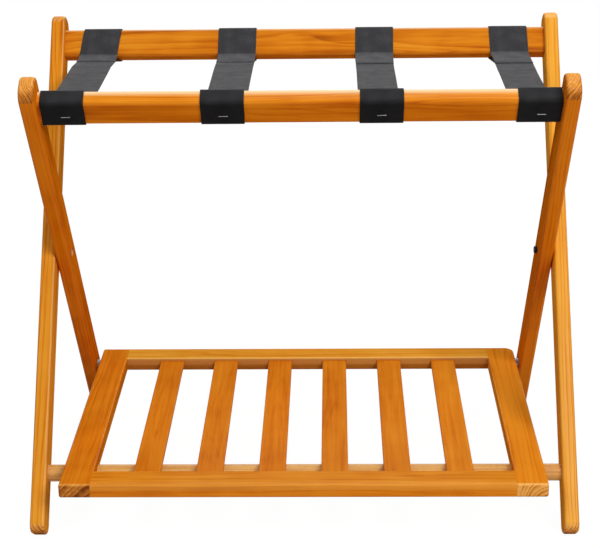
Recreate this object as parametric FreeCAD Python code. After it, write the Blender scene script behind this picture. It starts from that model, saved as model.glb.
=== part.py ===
import FreeCAD, Part
import math
import os

# A folding luggage rack in varnished pine.  Two leg frames cross like an X and turn on a
# bolt at each side.  Four webbing straps join their top rails and stop them opening.
# A slatted shelf hangs on two bolts between the inner legs and rests on a round dowel
# between the outer legs.
# X runs across the rack, -Y is its front, +Z is up.  The origin is on the floor, under
# the middle of the bounding box.

V = FreeCAD.Vector

# ------------------------------------------------------------------ driving dimensions
# All lengths in mm, all angles in degrees.

# Legs
overall_width = 670.0        # over the outer faces of the outer legs
leg_lean = 35.0              # each frame, from the vertical
leg_width = 38.0
leg_thickness = 18.0
inner_leg_above_pivot = 323.5
outer_leg_extra = 1.3        # by which an outer leg reaches further above the pivot
leg_below_pivot = 360.5
leg_top_radius = 15.0        # corners of the upper end, seen from the side
leg_foot_radius = 12.0       # corners of the lower end
leg_arris_radius = 3.5       # rounding along every edge
frame_gap = 0.7              # between an outer and an inner leg

# Top rails
rail_height = 38.0           # along the leg
rail_thickness = 20.5
rail_edge_radius = 5.0
front_rail_below_leg_top = 22.4
rear_rail_below_leg_top = 20.0

# Straps
strap_count = 4
strap_end_gap = 1.6          # between an outer strap and the inner leg beside it
strap_width = 51.0
strap_thickness = 1.4
strap_clearance = 0.3        # from the wood it lies on
strap_tail = 16.0            # turned-back end sewn on the span beside each rail
strap_below_corner = 4.6     # the span's middle, below the centres of the rails' inner corners

# Staples that hold the straps to the rails
staple_crown = 11.0
staple_wire = 1.0
staple_leg = 9.0
staple_fit = 0.1
staple_from_rail_bottom = 17.0

# Round dowel between the outer legs
dowel_diameter = 21.0
dowel_tenon_diameter = 14.0
dowel_tenon_length = 12.0
dowel_under_slats = 0.4      # between the dowel and the slats above it

# Shelf
shelf_side_gap = 5.0         # between the shelf and each inner leg
shelf_top_height = 88.8
shelf_thickness = 18.0
shelf_front_from_pivot = 236.0
shelf_rear_from_pivot = 186.0
stile_width = 38.0
shelf_rail_width = 36.5
shelf_arris_radius = 3.0
shelf_inner_arris_radius = 2.0
shelf_corner_radius = 3.0    # plan corners at the front and the rear left
shelf_swing_radius = 13.0    # plan corner at the rear right
slat_count = 6
slat_end_gap = 47.8          # between an outer slat and the stile beside it
slat_width = 33.0
slat_thickness = 6.0
slat_recess = 4.1            # below the top of the shelf rails
slat_arris_radius = 1.5
slat_tenon = 8.0
slat_fit = 0.15
notch_clearance = 0.4        # shelf over the round dowel
notch_ramp_relief = 3.0      # degrees by which the ramp is flatter than the dowel's path

# Wooden pins that join rails to legs and to stiles
pin_diameter = 8.0
pin_length = 24.0
pin_fit = 0.1
pin_inset = 9.5              # from the edges of a rail

# Pivot bolts
bolt_diameter = 5.0
bolt_fit = 0.3               # radial room round a bolt in wood that turns
bolt_head_diameter = 12.0
bolt_head_height = 1.8
bolt_head_chamfer = 0.9
bolt_socket = 3.0            # across the flats of the key socket
bolt_socket_depth = 1.2
nut_flats = 8.0
nut_height = 4.0
nut_edge = 0.6               # by which the turned face is smaller than the flats
nut_turning_angle = 30.0     # of the turned corners
bolt_end_depth = 0.3         # of the bolt's end below the nut's face
bolt_end_chamfer = 0.6
nut_clearance = 0.3          # between a nut and the wood that turns past it
sunk_nut_diameter = 11.0
sunk_nut_height = 4.5
sunk_nut_depth = 0.8         # below the face of the leg
sunk_nut_room = 0.6
washer_diameter = 16.0
washer_play = 0.1            # each side of the washer between the legs

# Shelf hinge bolts
hinge_head_diameter = 10.0
hinge_head_height = 2.4
hinge_head_depth = 0.4       # below the outer face of the inner leg
hinge_head_room = 0.5
hinge_bolt_reach = 11.0      # into the shelf
spacer_diameter = 10.0
spacer_play = 0.2
insert_diameter = 9.0
insert_length = 14.0
insert_fit = 0.1

# ------------------------------------------------------------------ derived places

lean = math.radians(leg_lean)
half_leg = leg_width / 2.0

outer_leg_x = overall_width / 2.0 - leg_thickness          # inner face of an outer leg
inner_leg_x = outer_leg_x - frame_gap - leg_thickness      # inner face of an inner leg
shelf_half_width = inner_leg_x - shelf_side_gap

foot_centre = leg_below_pivot - leg_foot_radius
foot_offset = half_leg - leg_foot_radius
pivot_z = foot_centre * math.cos(lean) + foot_offset * math.sin(lean) + leg_foot_radius
foot_rear = foot_centre * math.sin(lean) + foot_offset * math.cos(lean) + leg_foot_radius
pivot_y = (shelf_front_from_pivot - foot_rear) / 2.0       # centres the bounding box

outer_leg_above_pivot = inner_leg_above_pivot + outer_leg_extra

# Lower edges of the top rails, along the leg from the pivot
front_rail_bottom = inner_leg_above_pivot - front_rail_below_leg_top - rail_height
rear_rail_bottom = outer_leg_above_pivot - rear_rail_below_leg_top - rail_height

shelf_front = pivot_y - shelf_front_from_pivot
shelf_rear = pivot_y + shelf_rear_from_pivot
shelf_bottom = shelf_top_height - shelf_thickness
shelf_middle = shelf_top_height - shelf_thickness / 2.0
stile_inner_x = shelf_half_width - stile_width
front_rail_inner = shelf_front + shelf_rail_width
rear_rail_inner = shelf_rear - shelf_rail_width
slat_top = shelf_top_height - slat_recess
slat_bottom = slat_top - slat_thickness

dowel_radius = dowel_diameter / 2.0
dowel_z = slat_bottom - dowel_under_slats - dowel_radius
dowel_below_pivot = (pivot_z - dowel_z) / math.cos(lean)
dowel_y = pivot_y - dowel_below_pivot * math.sin(lean)

hinge_below_pivot = (pivot_z - shelf_middle) / math.cos(lean)
hinge_y = pivot_y + hinge_below_pivot * math.sin(lean)
hinge_z = shelf_middle


def spread(count, half_room, width, end_gap):
    """Centres of equal bands, evenly spaced between two walls with a gap at each wall."""
    outermost = half_room - end_gap - width / 2.0
    return [outermost * (2.0 * i / (count - 1) - 1.0) for i in range(count)]


strap_centres = spread(strap_count, inner_leg_x, strap_width, strap_end_gap)
slat_centres = spread(slat_count, stile_inner_x, slat_width, slat_end_gap)

SIDES = {"left": -1, "right": 1}
INNER_LEAN = leg_lean        # the inner frame leans forward at the top
OUTER_LEAN = -leg_lean       # the outer frame leans back at the top

# ------------------------------------------------------------------ shape helpers


def box(x0, x1, y0, y1, z0, z1):
    """A box between two corners."""
    return Part.makeBox(x1 - x0, y1 - y0, z1 - z0, V(x0, y0, z0))


def across(radius, x0, x1, y=0.0, z=0.0):
    """A cylinder along X from x0 to x1, whichever of them is the larger."""
    start = min(x0, x1)
    return Part.makeCylinder(radius, abs(x1 - x0), V(start, y, z), V(1, 0, 0))


def rounded_prism(x0, x1, y0, y1, z0, z1, lower_radius, upper_radius):
    """A prism along X whose outline is a rectangle in Y and Z with rounded corners."""
    corners = [
        (V(x0, y0, z0), V(0, 1, 0), V(0, 0, 1), lower_radius),
        (V(x0, y1, z0), V(0, 0, 1), V(0, -1, 0), lower_radius),
        (V(x0, y1, z1), V(0, -1, 0), V(0, 0, -1), upper_radius),
        (V(x0, y0, z1), V(0, 0, -1), V(0, 1, 0), upper_radius),
    ]
    edges = []
    ends = []
    for corner, leaving, arriving, radius in corners:
        centre = corner + (leaving + arriving) * radius
        start = corner + arriving * radius
        end = corner + leaving * radius
        middle = centre - (leaving + arriving) * (radius / math.sqrt(2.0))
        edges.append(Part.Arc(start, middle, end).toShape())
        ends.append((start, end))
    for i, (_, end) in enumerate(ends):
        following = ends[(i + 1) % len(ends)][0]
        if (following - end).Length > 1e-6:
            edges.append(Part.makeLine(end, following))
    outline = Part.Wire(Part.__sortEdges__(edges))
    return Part.Face(outline).extrude(V(x1 - x0, 0, 0))


def edges_where(shape, test):
    """The edges of a shape whose bounding box passes a test."""
    return [edge for edge in shape.Edges if test(edge.BoundBox)]


def ease_faces_across(shape, x0, x1, radius):
    """Rounds the whole outline of the two faces that look along X."""
    def on_face(b):
        return any(abs(b.XMin - x) < 1e-4 and abs(b.XMax - x) < 1e-4 for x in (x0, x1))
    return shape.makeFillet(radius, edges_where(shape, on_face))


def seat(shape, lean_angle):
    """Moves a shape from a leg frame's own axes (pivot at the origin) to its place."""
    turned = shape.copy()
    turned.rotate(V(0, 0, 0), V(1, 0, 0), lean_angle)
    turned.translate(V(0, pivot_y, pivot_z))
    return turned


def hexagon(flats, x0, x1):
    """A hexagonal prism along X."""
    radius = flats / math.sqrt(3.0)
    angles = [math.radians(60.0 * i) for i in range(7)]
    points = [V(x0, radius * math.cos(a), radius * math.sin(a)) for a in angles]
    return Part.Face(Part.makePolygon(points)).extrude(V(x1 - x0, 0, 0))


# ------------------------------------------------------------------ legs


def pin_places(rail_bottom):
    """Distances from the pivot, along the leg, of the two pins in a top rail's end."""
    return [rail_bottom + pin_inset, rail_bottom + rail_height - pin_inset]


def leg_blank(x0, above_pivot):
    """A leg with rounded ends and eased edges, its lower X at x0, pivot at the origin."""
    x1 = x0 + leg_thickness
    blank = rounded_prism(x0, x1, -half_leg, half_leg, -leg_below_pivot, above_pivot,
                          leg_foot_radius, leg_top_radius)
    return ease_faces_across(blank, x0, x1, leg_arris_radius)


def rail_pin_bores(x_face, side, rail_bottom):
    """Blind bores for the rail's pins, from the leg's inner face outwards."""
    depth = side * (pin_length / 2.0 + pin_fit)
    radius = pin_diameter / 2.0 + pin_fit
    return [across(radius, x_face, x_face + depth, 0, s) for s in pin_places(rail_bottom)]


def inner_leg(side):
    """A leg of the inner frame, with its pivot bore and the bore of the shelf hinge."""
    leg = leg_blank(inner_leg_x if side > 0 else -inner_leg_x - leg_thickness,
                    inner_leg_above_pivot)
    inner_face = side * inner_leg_x
    outer_face = side * (inner_leg_x + leg_thickness)
    through = (inner_face - side, outer_face + side)
    bore = bolt_diameter / 2.0 + bolt_fit
    head_room = (hinge_head_diameter + hinge_head_room) / 2.0
    head_floor = outer_face - side * (hinge_head_depth + hinge_head_height)
    tools = rail_pin_bores(inner_face, side, front_rail_bottom)
    tools.append(across(bore, through[0], through[1]))
    tools.append(across(bore, through[0], through[1], 0, -hinge_below_pivot))
    tools.append(across(head_room, head_floor, through[1], 0, -hinge_below_pivot))
    if side < 0:
        pocket = (sunk_nut_diameter + sunk_nut_room) / 2.0
        floor = inner_face + side * (sunk_nut_depth + sunk_nut_height + nut_clearance)
        tools.append(across(pocket, through[0], floor))
    return leg.cut(tools)


def outer_leg(side):
    """A leg of the outer frame, with its pivot bore and the blind bore of the dowel."""
    leg = leg_blank(outer_leg_x if side > 0 else -outer_leg_x - leg_thickness,
                    outer_leg_above_pivot)
    inner_face = side * outer_leg_x
    bore = bolt_diameter / 2.0 + bolt_fit
    tenon = dowel_tenon_diameter / 2.0 + pin_fit
    tools = rail_pin_bores(inner_face, side, rear_rail_bottom)
    tools.append(across(bore, inner_face - side, inner_face + side * (leg_thickness + 1)))
    tools.append(across(tenon, inner_face, inner_face + side * (dowel_tenon_length + pin_fit),
                        0, -dowel_below_pivot))
    return leg.cut(tools)


# ------------------------------------------------------------------ top rails and dowel


def top_rail(half_length, rail_bottom, staple_side):
    """A top rail between two legs, with the bores of its pins and its staples."""
    half = rail_thickness / 2.0
    rail = rounded_prism(-half_length, half_length, -half, half, rail_bottom,
                         rail_bottom + rail_height, rail_edge_radius, rail_edge_radius)
    radius = pin_diameter / 2.0 + pin_fit
    depth = pin_length / 2.0 + pin_fit
    tools = []
    for side in SIDES.values():
        end = side * half_length
        start = end - side * depth
        tools += [across(radius, start, end, 0, s) for s in pin_places(rail_bottom)]
    for x in strap_centres:
        tools += staple_legs(x, rail_bottom, staple_side, staple_fit)
    return rail.cut(tools)


def rail_pins(half_length, rail_bottom):
    """The four wooden pins of a top rail, two in each end, half in the rail."""
    pins = []
    for side in SIDES.values():
        end = side * half_length
        reach = side * pin_length / 2.0
        for s in pin_places(rail_bottom):
            pins.append(across(pin_diameter / 2.0, end - reach, end + reach, 0, s))
    return Part.makeCompound(pins)


def round_dowel():
    """The round dowel that the shelf rests on, with a turned tenon at each end."""
    dowel = across(dowel_radius, -outer_leg_x, outer_leg_x, dowel_y, dowel_z)
    reach = outer_leg_x + dowel_tenon_length
    tenons = across(dowel_tenon_diameter / 2.0, -reach, reach, dowel_y, dowel_z)
    return dowel.fuse(tenons).removeSplitter()


# ------------------------------------------------------------------ straps and staples


def strap_band(x, rail_bottom, offset):
    """The outline of a rail grown by an offset, as wide as a strap, centred on x."""
    half = rail_thickness / 2.0 + offset
    radius = rail_edge_radius + offset
    return rounded_prism(x - strap_width / 2.0, x + strap_width / 2.0, -half, half,
                         rail_bottom - offset, rail_bottom + rail_height + offset,
                         radius, radius)


def strap_loop(x, rail_bottom, staple_side):
    """The part of a strap that wraps round a rail."""
    ring = strap_band(x, rail_bottom, strap_clearance + strap_thickness)
    ring = ring.cut(strap_band(x, rail_bottom, strap_clearance))
    return ring.cut(staple_legs(x, rail_bottom, staple_side, staple_fit))


def inner_corner(rail_bottom):
    """Centre of the rounding at a rail's lower inner edge: distance from the pivot, height."""
    along = rail_bottom + rail_edge_radius
    aside = rail_thickness / 2.0 - rail_edge_radius
    return (along * math.sin(lean) - aside * math.cos(lean),
            pivot_z + along * math.cos(lean) + aside * math.sin(lean))


def layer_reach(rail_bottom, top):
    """How far from the pivot a flat layer runs before it meets the loop's lower corner."""
    distance, height = inner_corner(rail_bottom)
    radius = rail_edge_radius + strap_thickness + 2.0 * strap_clearance
    drop = min(abs(height - top), radius)
    return distance - math.sqrt(radius ** 2 - drop ** 2)


def span_middle():
    """Height of the middle of the straps' flat run."""
    heights = [inner_corner(rail_bottom)[1] for rail_bottom in (front_rail_bottom, rear_rail_bottom)]
    return sum(heights) / 2.0 - strap_below_corner


def strap_span(x):
    """The flat run of a strap from loop to loop, with a turned-back end beside each rail."""
    x0 = x - strap_width / 2.0
    x1 = x + strap_width / 2.0
    bottom = span_middle() - strap_thickness / 2.0
    top = bottom + strap_thickness
    span = box(x0, x1, pivot_y - layer_reach(front_rail_bottom, top),
               pivot_y + layer_reach(rear_rail_bottom, top), bottom, top)
    tail_top = top + strap_thickness
    front = pivot_y - layer_reach(front_rail_bottom, tail_top)
    rear = pivot_y + layer_reach(rear_rail_bottom, tail_top)
    tails = [box(x0, x1, front, front + strap_tail, top, tail_top),
             box(x0, x1, rear - strap_tail, rear, top, tail_top)]
    return span.fuse(tails).removeSplitter()


def staple_legs(x, rail_bottom, side, room=0.0):
    """The two legs of a staple, driven square into the rail's outer face."""
    half = staple_wire / 2.0 + room
    face = side * (rail_thickness / 2.0 + strap_clearance + strap_thickness)
    tip = face - side * (staple_leg + room)
    start = face + side * staple_wire
    z = rail_bottom + staple_from_rail_bottom
    offset = (staple_crown - staple_wire) / 2.0
    legs = []
    for centre in (x - offset, x + offset):
        legs.append(box(centre - half, centre + half, min(tip, start), max(tip, start),
                        z - half, z + half))
    return legs


def staple(x, rail_bottom, side):
    """A staple: a crown that lies on the strap and two legs."""
    half = staple_wire / 2.0
    face = side * (rail_thickness / 2.0 + strap_clearance + strap_thickness)
    outside = face + side * staple_wire
    z = rail_bottom + staple_from_rail_bottom
    crown = box(x - staple_crown / 2.0, x + staple_crown / 2.0, min(face, outside),
                max(face, outside), z - half, z + half)
    return crown.fuse(staple_legs(x, rail_bottom, side)).removeSplitter()


# ------------------------------------------------------------------ shelf


def shelf_blank():
    """The four-sided shelf frame as one piece, with its edges rounded over as one."""
    outline = box(-shelf_half_width, shelf_half_width, shelf_front, shelf_rear,
                  shelf_bottom, shelf_top_height)

    def plan_corner(at_swing):
        def test(b):
            upright = b.ZLength > shelf_thickness - 1e-3
            swing = b.XMin > 0 and b.YMin > shelf_rear - 1e-3
            return upright and swing == at_swing
        return test
    outline = outline.makeFillet(shelf_swing_radius, edges_where(outline, plan_corner(True)))
    outline = outline.makeFillet(shelf_corner_radius, edges_where(outline, plan_corner(False)))

    def flat(b):
        return b.ZLength < 1e-4
    outline = outline.makeFillet(shelf_arris_radius * 0.999, edges_where(outline, flat))
    opening = box(-stile_inner_x, stile_inner_x, front_rail_inner, rear_rail_inner,
                  shelf_bottom - 1, shelf_top_height + 1)
    frame = outline.cut(opening)

    def opening_edge(b):
        inside_x = b.XMin > -stile_inner_x - 1e-3 and b.XMax < stile_inner_x + 1e-3
        inside_y = b.YMin > front_rail_inner - 1e-3 and b.YMax < rear_rail_inner + 1e-3
        return flat(b) and inside_x and inside_y
    return frame.makeFillet(shelf_inner_arris_radius, edges_where(frame, opening_edge))


def dowel_notch():
    """What is cut under the stiles: the dowel's seat and the ramp it leaves by."""
    radius = dowel_radius + notch_clearance
    reach = shelf_half_width + 1
    seat_cut = across(radius, -reach, reach, dowel_y, dowel_z)
    slope = lean - math.radians(notch_ramp_relief)
    ramp = box(-reach, reach, 0, 2 * radius, -radius, radius)
    ramp.rotate(V(0, 0, 0), V(1, 0, 0), -math.degrees(slope))
    ramp.translate(V(0, dowel_y, dowel_z))
    return seat_cut.fuse(ramp)


def shelf_pin_places():
    """Y of each pin between the shelf's rails and stiles."""
    rails = [(shelf_front, front_rail_inner), (rear_rail_inner, shelf_rear)]
    places = []
    for near, far in rails:
        places += [near + pin_inset, far - pin_inset]
    return places


def shelf_pins(room=0.0):
    """The eight wooden pins of the shelf's corners, or their bores with some room."""
    pins = []
    for side in SIDES.values():
        joint = side * stile_inner_x
        reach = side * (pin_length / 2.0 + room)
        for y in shelf_pin_places():
            pins.append(across(pin_diameter / 2.0 + room, joint - reach, joint + reach,
                               y, shelf_middle))
    return pins


def stile(frame, side):
    """A long side member of the shelf, cut from the rounded frame."""
    x0, x1 = sorted((side * stile_inner_x, side * (shelf_half_width + 1)))
    piece = frame.common(box(x0, x1, shelf_front - 1, shelf_rear + 1,
                             shelf_bottom - 1, shelf_top_height + 1))
    face = side * shelf_half_width
    pocket = across(insert_diameter / 2.0 + insert_fit, face + side,
                    face - side * (insert_length + insert_fit), hinge_y, hinge_z)
    return piece.cut([dowel_notch(), pocket] + shelf_pins(pin_fit))


def shelf_rail(frame, y0, y1):
    """A cross member of the shelf, cut from the rounded frame, with its mortises."""
    piece = frame.common(box(-stile_inner_x, stile_inner_x, y0, y1,
                             shelf_bottom - 1, shelf_top_height + 1))
    mortises = [slat_blank(x, slat_fit) for x in slat_centres]
    return piece.cut(mortises + shelf_pins(pin_fit))


def slat_blank(x, room=0.0):
    """A slat with square edges from mortise to mortise, grown by some room."""
    half = slat_width / 2.0 + room
    return box(x - half, x + half, front_rail_inner - slat_tenon - room,
               rear_rail_inner + slat_tenon + room, slat_bottom - room, slat_top + room)


def slat(x):
    """A thin slat with eased long edges, housed in both rails."""
    piece = slat_blank(x)

    def long_edge(b):
        return b.YLength > slat_width + slat_thickness
    return piece.makeFillet(slat_arris_radius, edges_where(piece, long_edge))


# ------------------------------------------------------------------ pivot hardware


def pivot_bolt(side):
    """A bolt with a low round head on the outer leg and its end inside the nut."""
    outer_face = side * overall_width / 2.0
    head_end = outer_face + side * bolt_head_height
    if side > 0:
        tip = side * (inner_leg_x - nut_clearance - nut_height + bolt_end_depth)
    else:
        tip = side * (inner_leg_x + sunk_nut_depth + bolt_end_depth)
    shank = across(bolt_diameter / 2.0, tip, outer_face)
    head = across(bolt_head_diameter / 2.0, outer_face, head_end)

    def rim_at(x):
        return lambda b: abs(b.XMin - x) < 1e-4 and abs(b.XMax - x) < 1e-4
    shank = shank.makeChamfer(bolt_end_chamfer, edges_where(shank, rim_at(tip)))
    head = head.makeChamfer(bolt_head_chamfer, edges_where(head, rim_at(head_end)))
    socket = hexagon(bolt_socket, head_end - side * bolt_socket_depth, head_end + side)
    return shank.fuse(head).removeSplitter().cut(socket)


def hex_nut(side):
    """A hexagon nut on the inner face of the leg, its outer corners turned off."""
    start = side * (inner_leg_x - nut_clearance)
    end = start - side * nut_height
    blank = hexagon(nut_flats, start, end)
    corner = nut_flats / math.sqrt(3.0)
    flat = nut_flats / 2.0 - nut_edge / 2.0
    rise = (corner - flat) * math.tan(math.radians(nut_turning_angle))
    cone = Part.makeCone(corner, flat, rise, V(end + side * rise, 0, 0), V(-side, 0, 0))
    body = across(corner, start, end + side * rise).fuse(cone)
    return blank.common(body).cut(across(bolt_diameter / 2.0, start + side, end - side))


def sunk_nut(side):
    """A round nut let into the inner face of the leg."""
    outside = side * (inner_leg_x + sunk_nut_depth)
    inside = side * (inner_leg_x + sunk_nut_depth + sunk_nut_height)
    nut = across(sunk_nut_diameter / 2.0, outside, inside)
    return nut.cut(across(bolt_diameter / 2.0, outside - side, inside + side))


def pivot_washer(side):
    """The thin washer between an inner and an outer leg."""
    start = side * (outer_leg_x - washer_play)
    end = side * (outer_leg_x - frame_gap + washer_play)
    bore = bolt_diameter / 2.0 + washer_play
    washer = across(washer_diameter / 2.0, start, end)
    return washer.cut(across(bore, start + side, end - side))


# ------------------------------------------------------------------ shelf hinge hardware


def hinge_bolt(side):
    """The bolt that the shelf turns on, its head sunk in the inner leg's outer face."""
    head_end = side * (inner_leg_x + leg_thickness - hinge_head_depth)
    head_start = head_end - side * hinge_head_height
    tip = side * (shelf_half_width - hinge_bolt_reach)
    head = across(hinge_head_diameter / 2.0, head_start, head_end, hinge_y, hinge_z)
    shank = across(bolt_diameter / 2.0, tip, head_start, hinge_y, hinge_z)
    socket = hexagon(bolt_socket, head_end - side * bolt_socket_depth, head_end + side)
    socket.translate(V(0, hinge_y, hinge_z))
    return head.fuse(shank).removeSplitter().cut(socket)


def hinge_spacer(side):
    """The sleeve that keeps the shelf clear of the inner leg."""
    start = side * inner_leg_x
    end = side * (shelf_half_width + spacer_play)
    sleeve = across(spacer_diameter / 2.0, start, end, hinge_y, hinge_z)
    return sleeve.cut(across(bolt_diameter / 2.0 + insert_fit, start + side, end - side,
                             hinge_y, hinge_z))


def hinge_insert(side):
    """The bush in the stile that the hinge bolt turns in."""
    start = side * shelf_half_width
    end = start - side * insert_length
    bush = across(insert_diameter / 2.0, start, end, hinge_y, hinge_z)
    bore_end = start - side * (hinge_bolt_reach + spacer_play)
    return bush.cut(across(bolt_diameter / 2.0 + insert_fit, start + side, bore_end,
                           hinge_y, hinge_z))


# ------------------------------------------------------------------ assembly


def build():
    """Every piece by name, each in its place."""
    nodes = {}
    for name, side in SIDES.items():
        nodes["inner_leg_" + name] = seat(inner_leg(side), INNER_LEAN)
        nodes["outer_leg_" + name] = seat(outer_leg(side), OUTER_LEAN)
        nodes["pivot_bolt_" + name] = seat(pivot_bolt(side), OUTER_LEAN)
        nodes["pivot_washer_" + name] = seat(pivot_washer(side), OUTER_LEAN)
        nodes["shelf_hinge_bolt_" + name] = hinge_bolt(side)
        nodes["shelf_hinge_spacer_" + name] = hinge_spacer(side)
        nodes["shelf_hinge_bush_" + name] = hinge_insert(side)
    nodes["pivot_nut_right"] = seat(hex_nut(SIDES["right"]), OUTER_LEAN)
    nodes["pivot_sunk_nut_left"] = seat(sunk_nut(SIDES["left"]), OUTER_LEAN)

    # Each rail carries its staples on the face away from the straps' free run.
    rails = [("front", front_rail_bottom, inner_leg_x, -1, INNER_LEAN),
             ("rear", rear_rail_bottom, outer_leg_x, 1, OUTER_LEAN)]
    for place, bottom, half_length, outward, lean_angle in rails:
        rail = top_rail(half_length, bottom, outward)
        staples = [staple(x, bottom, outward) for x in strap_centres]
        nodes[place + "_top_rail"] = seat(rail, lean_angle)
        nodes[place + "_rail_pins"] = seat(rail_pins(half_length, bottom), lean_angle)
        nodes[place + "_staples"] = seat(Part.makeCompound(staples), lean_angle)
        for number, x in enumerate(strap_centres, 1):
            loop = strap_loop(x, bottom, outward)
            nodes["strap_%d_%s_loop" % (number, place)] = seat(loop, lean_angle)
    for number, x in enumerate(strap_centres, 1):
        nodes["strap_%d_span" % number] = strap_span(x)
    nodes["front_dowel"] = round_dowel()

    frame = shelf_blank()
    for name, side in SIDES.items():
        nodes["shelf_stile_" + name] = stile(frame, side)
    nodes["shelf_front_rail"] = shelf_rail(frame, shelf_front, front_rail_inner)
    nodes["shelf_rear_rail"] = shelf_rail(frame, rear_rail_inner, shelf_rear)
    nodes["shelf_pins"] = Part.makeCompound(shelf_pins())
    for number, x in enumerate(slat_centres, 1):
        nodes["shelf_slat_%d" % number] = slat(x)
    return nodes


os.makedirs("parts", exist_ok=True)
whole = None
for node_name, node_shape in sorted(build().items()):
    solids = node_shape.Solids
    piece = solids[0] if len(solids) == 1 else Part.makeCompound(solids)
    piece.exportStep("parts/%s.step" % node_name)
    bounds = piece.BoundBox
    whole = bounds if whole is None else whole.united(bounds)
    print("%-26s solids %d valid %s volume %.0f mm3" %
          (node_name, len(solids), piece.isValid(), piece.Volume))
print("bounding box X %.2f %.2f  Y %.2f %.2f  Z %.2f %.2f" %
      (whole.XMin, whole.XMax, whole.YMin, whole.YMax, whole.ZMin, whole.ZMax))
print("pivot y %.3f z %.3f; hinge y %.3f z %.3f; dowel y %.3f z %.3f; top of the spans %.3f" %
      (pivot_y, pivot_z, hinge_y, hinge_z, dowel_y, dowel_z, span_middle() + strap_thickness / 2.0))
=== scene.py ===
# %% [markdown]
# # A folding luggage rack
#
# The real rack is varnished pine: two leg frames that cross, four webbing straps across the
# top, and a slatted shelf near the floor.  The joiner's parts already exist as exact solids,
# so this lesson adds what solids lack: wood that looks like wood, webbing that wraps and is
# sewn, bent wire staples, and soft light.  The first cell loads the solids as a fixed frame
# in metres, with the floor at zero, and gives a way to read a solid's box.

# %% Load the frame
import math

import bpy
import numpy as np
from mathutils import Matrix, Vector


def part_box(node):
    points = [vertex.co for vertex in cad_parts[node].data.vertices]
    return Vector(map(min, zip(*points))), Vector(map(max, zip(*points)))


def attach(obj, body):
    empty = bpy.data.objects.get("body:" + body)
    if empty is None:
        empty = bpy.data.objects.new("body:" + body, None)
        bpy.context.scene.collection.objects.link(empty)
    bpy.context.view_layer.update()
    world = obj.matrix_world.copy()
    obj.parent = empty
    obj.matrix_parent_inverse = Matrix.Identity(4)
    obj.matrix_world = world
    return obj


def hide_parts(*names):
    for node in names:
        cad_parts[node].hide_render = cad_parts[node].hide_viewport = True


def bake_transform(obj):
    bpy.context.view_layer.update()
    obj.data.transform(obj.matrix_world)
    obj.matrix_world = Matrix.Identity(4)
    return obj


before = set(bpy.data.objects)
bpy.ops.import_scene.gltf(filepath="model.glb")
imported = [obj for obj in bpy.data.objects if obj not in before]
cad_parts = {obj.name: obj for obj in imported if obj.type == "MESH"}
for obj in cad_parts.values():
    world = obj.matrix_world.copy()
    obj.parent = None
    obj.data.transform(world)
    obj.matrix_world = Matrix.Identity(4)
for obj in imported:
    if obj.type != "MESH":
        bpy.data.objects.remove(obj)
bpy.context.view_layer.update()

scene = bpy.context.scene
TO_MM = 1000.0
TO_METRES = 0.001

# %% [markdown]
# ## Colours
#
# Paint and stain colours are easiest to pick as hex codes, as in any paint program.  Those
# are sRGB numbers, while the renderer works in linear light, so every colour in this lesson
# goes through one function.

# %% Hex colours to linear light


def linear(code):
    """Linear colour of an sRGB hex code: a power curve with a short straight toe."""
    levels = np.array([int(code[i:i + 2], 16) for i in (1, 3, 5)]) / 255.0
    light = np.where(levels <= 0.04045, levels / 12.92, ((levels + 0.055) / 1.055) ** 2.4)
    return (*light.tolist(), 1.0)


print("honey varnish in linear light:", [round(v, 3) for v in linear("#D08326")])

# %% [markdown]
# ## A helper for material nodes
#
# A procedural material is a small graph.  One function adds a node, sets its properties and
# fills its inputs, where each input is either a plain value or what another node gives.  A
# colour ramp also gets its stops there.  A last function starts a material and returns its
# graph and its Principled shader, with the values that are the same all over already set.

# %% Graph helpers


def fill(tree, node, inputs):
    """Sets or links a node's inputs, which are named in a dict or given in order.

    Each is a plain value, another node's output, or another node, which then stands for the
    first of its outputs that is in use."""
    for key, value in inputs.items() if isinstance(inputs, dict) else enumerate(inputs):
        if isinstance(value, bpy.types.Node):
            value = next(output for output in value.outputs if output.enabled)
        if isinstance(value, bpy.types.NodeSocket):
            tree.links.new(value, node.inputs[key])
        else:
            node.inputs[key].default_value = value


def add(tree, kind, inputs=(), stops=(), **settings):
    """Adds a node with its settings and inputs, and the stops (place, colour) of a ramp."""
    made = tree.nodes.new(kind)
    for name, value in settings.items():
        setattr(made, name, value)
    if stops:
        elements = made.color_ramp.elements
        while len(elements) < len(stops):
            elements.new(0.5)
        for element, (place, colour) in zip(elements, stops):
            element.position = place
            element.color = colour if isinstance(colour, tuple) else linear(colour)
    fill(tree, made, inputs)
    return made


def new_material(name, fixed):
    """A material, its graph and its shader, with plain values set on the shader's sockets."""
    material = bpy.data.materials.new(name)
    material.use_nodes = True
    shader = material.node_tree.nodes["Principled BSDF"]
    fill(material.node_tree, shader, fixed)
    return material, material.node_tree, shader


print("helpers ready:", fill.__name__, add.__name__, new_material.__name__)

# %% [markdown]
# ## Where the wood's grain runs
#
# A board is cut along the trunk, so its grain follows its length.  Each piece gets its own
# coordinates in millimetres: they are turned so that the third one runs along the grain, and
# moved so that the first two measure the distance from the centre of the tree.  The turns are
# Euler angles for a Mapping node: the leg frames lean 35 degrees, one forward, one back.

# %% Grain directions
LEAN = math.radians(35.0)
QUARTER = math.pi / 2.0
GRAIN_TURNS = {
    "inner leg": (-LEAN, 0.0, 0.0),
    "outer leg": (LEAN, 0.0, 0.0),
    "front rail": (-LEAN, -QUARTER, 0.0),
    "rear rail": (LEAN, -QUARTER, 0.0),
    "shelf rail": (0.0, -QUARTER, 0.0),
    "shelf length": (QUARTER, 0.0, 0.0),
}


def turned(turn, point):
    """A point after a Mapping node's turn: about X first, then Y, then Z."""
    x, y, z = turn
    spin = Matrix.Rotation(z, 3, "Z") @ Matrix.Rotation(y, 3, "Y") @ Matrix.Rotation(x, 3, "X")
    return np.array(spin) @ np.asarray(point, float)


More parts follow.
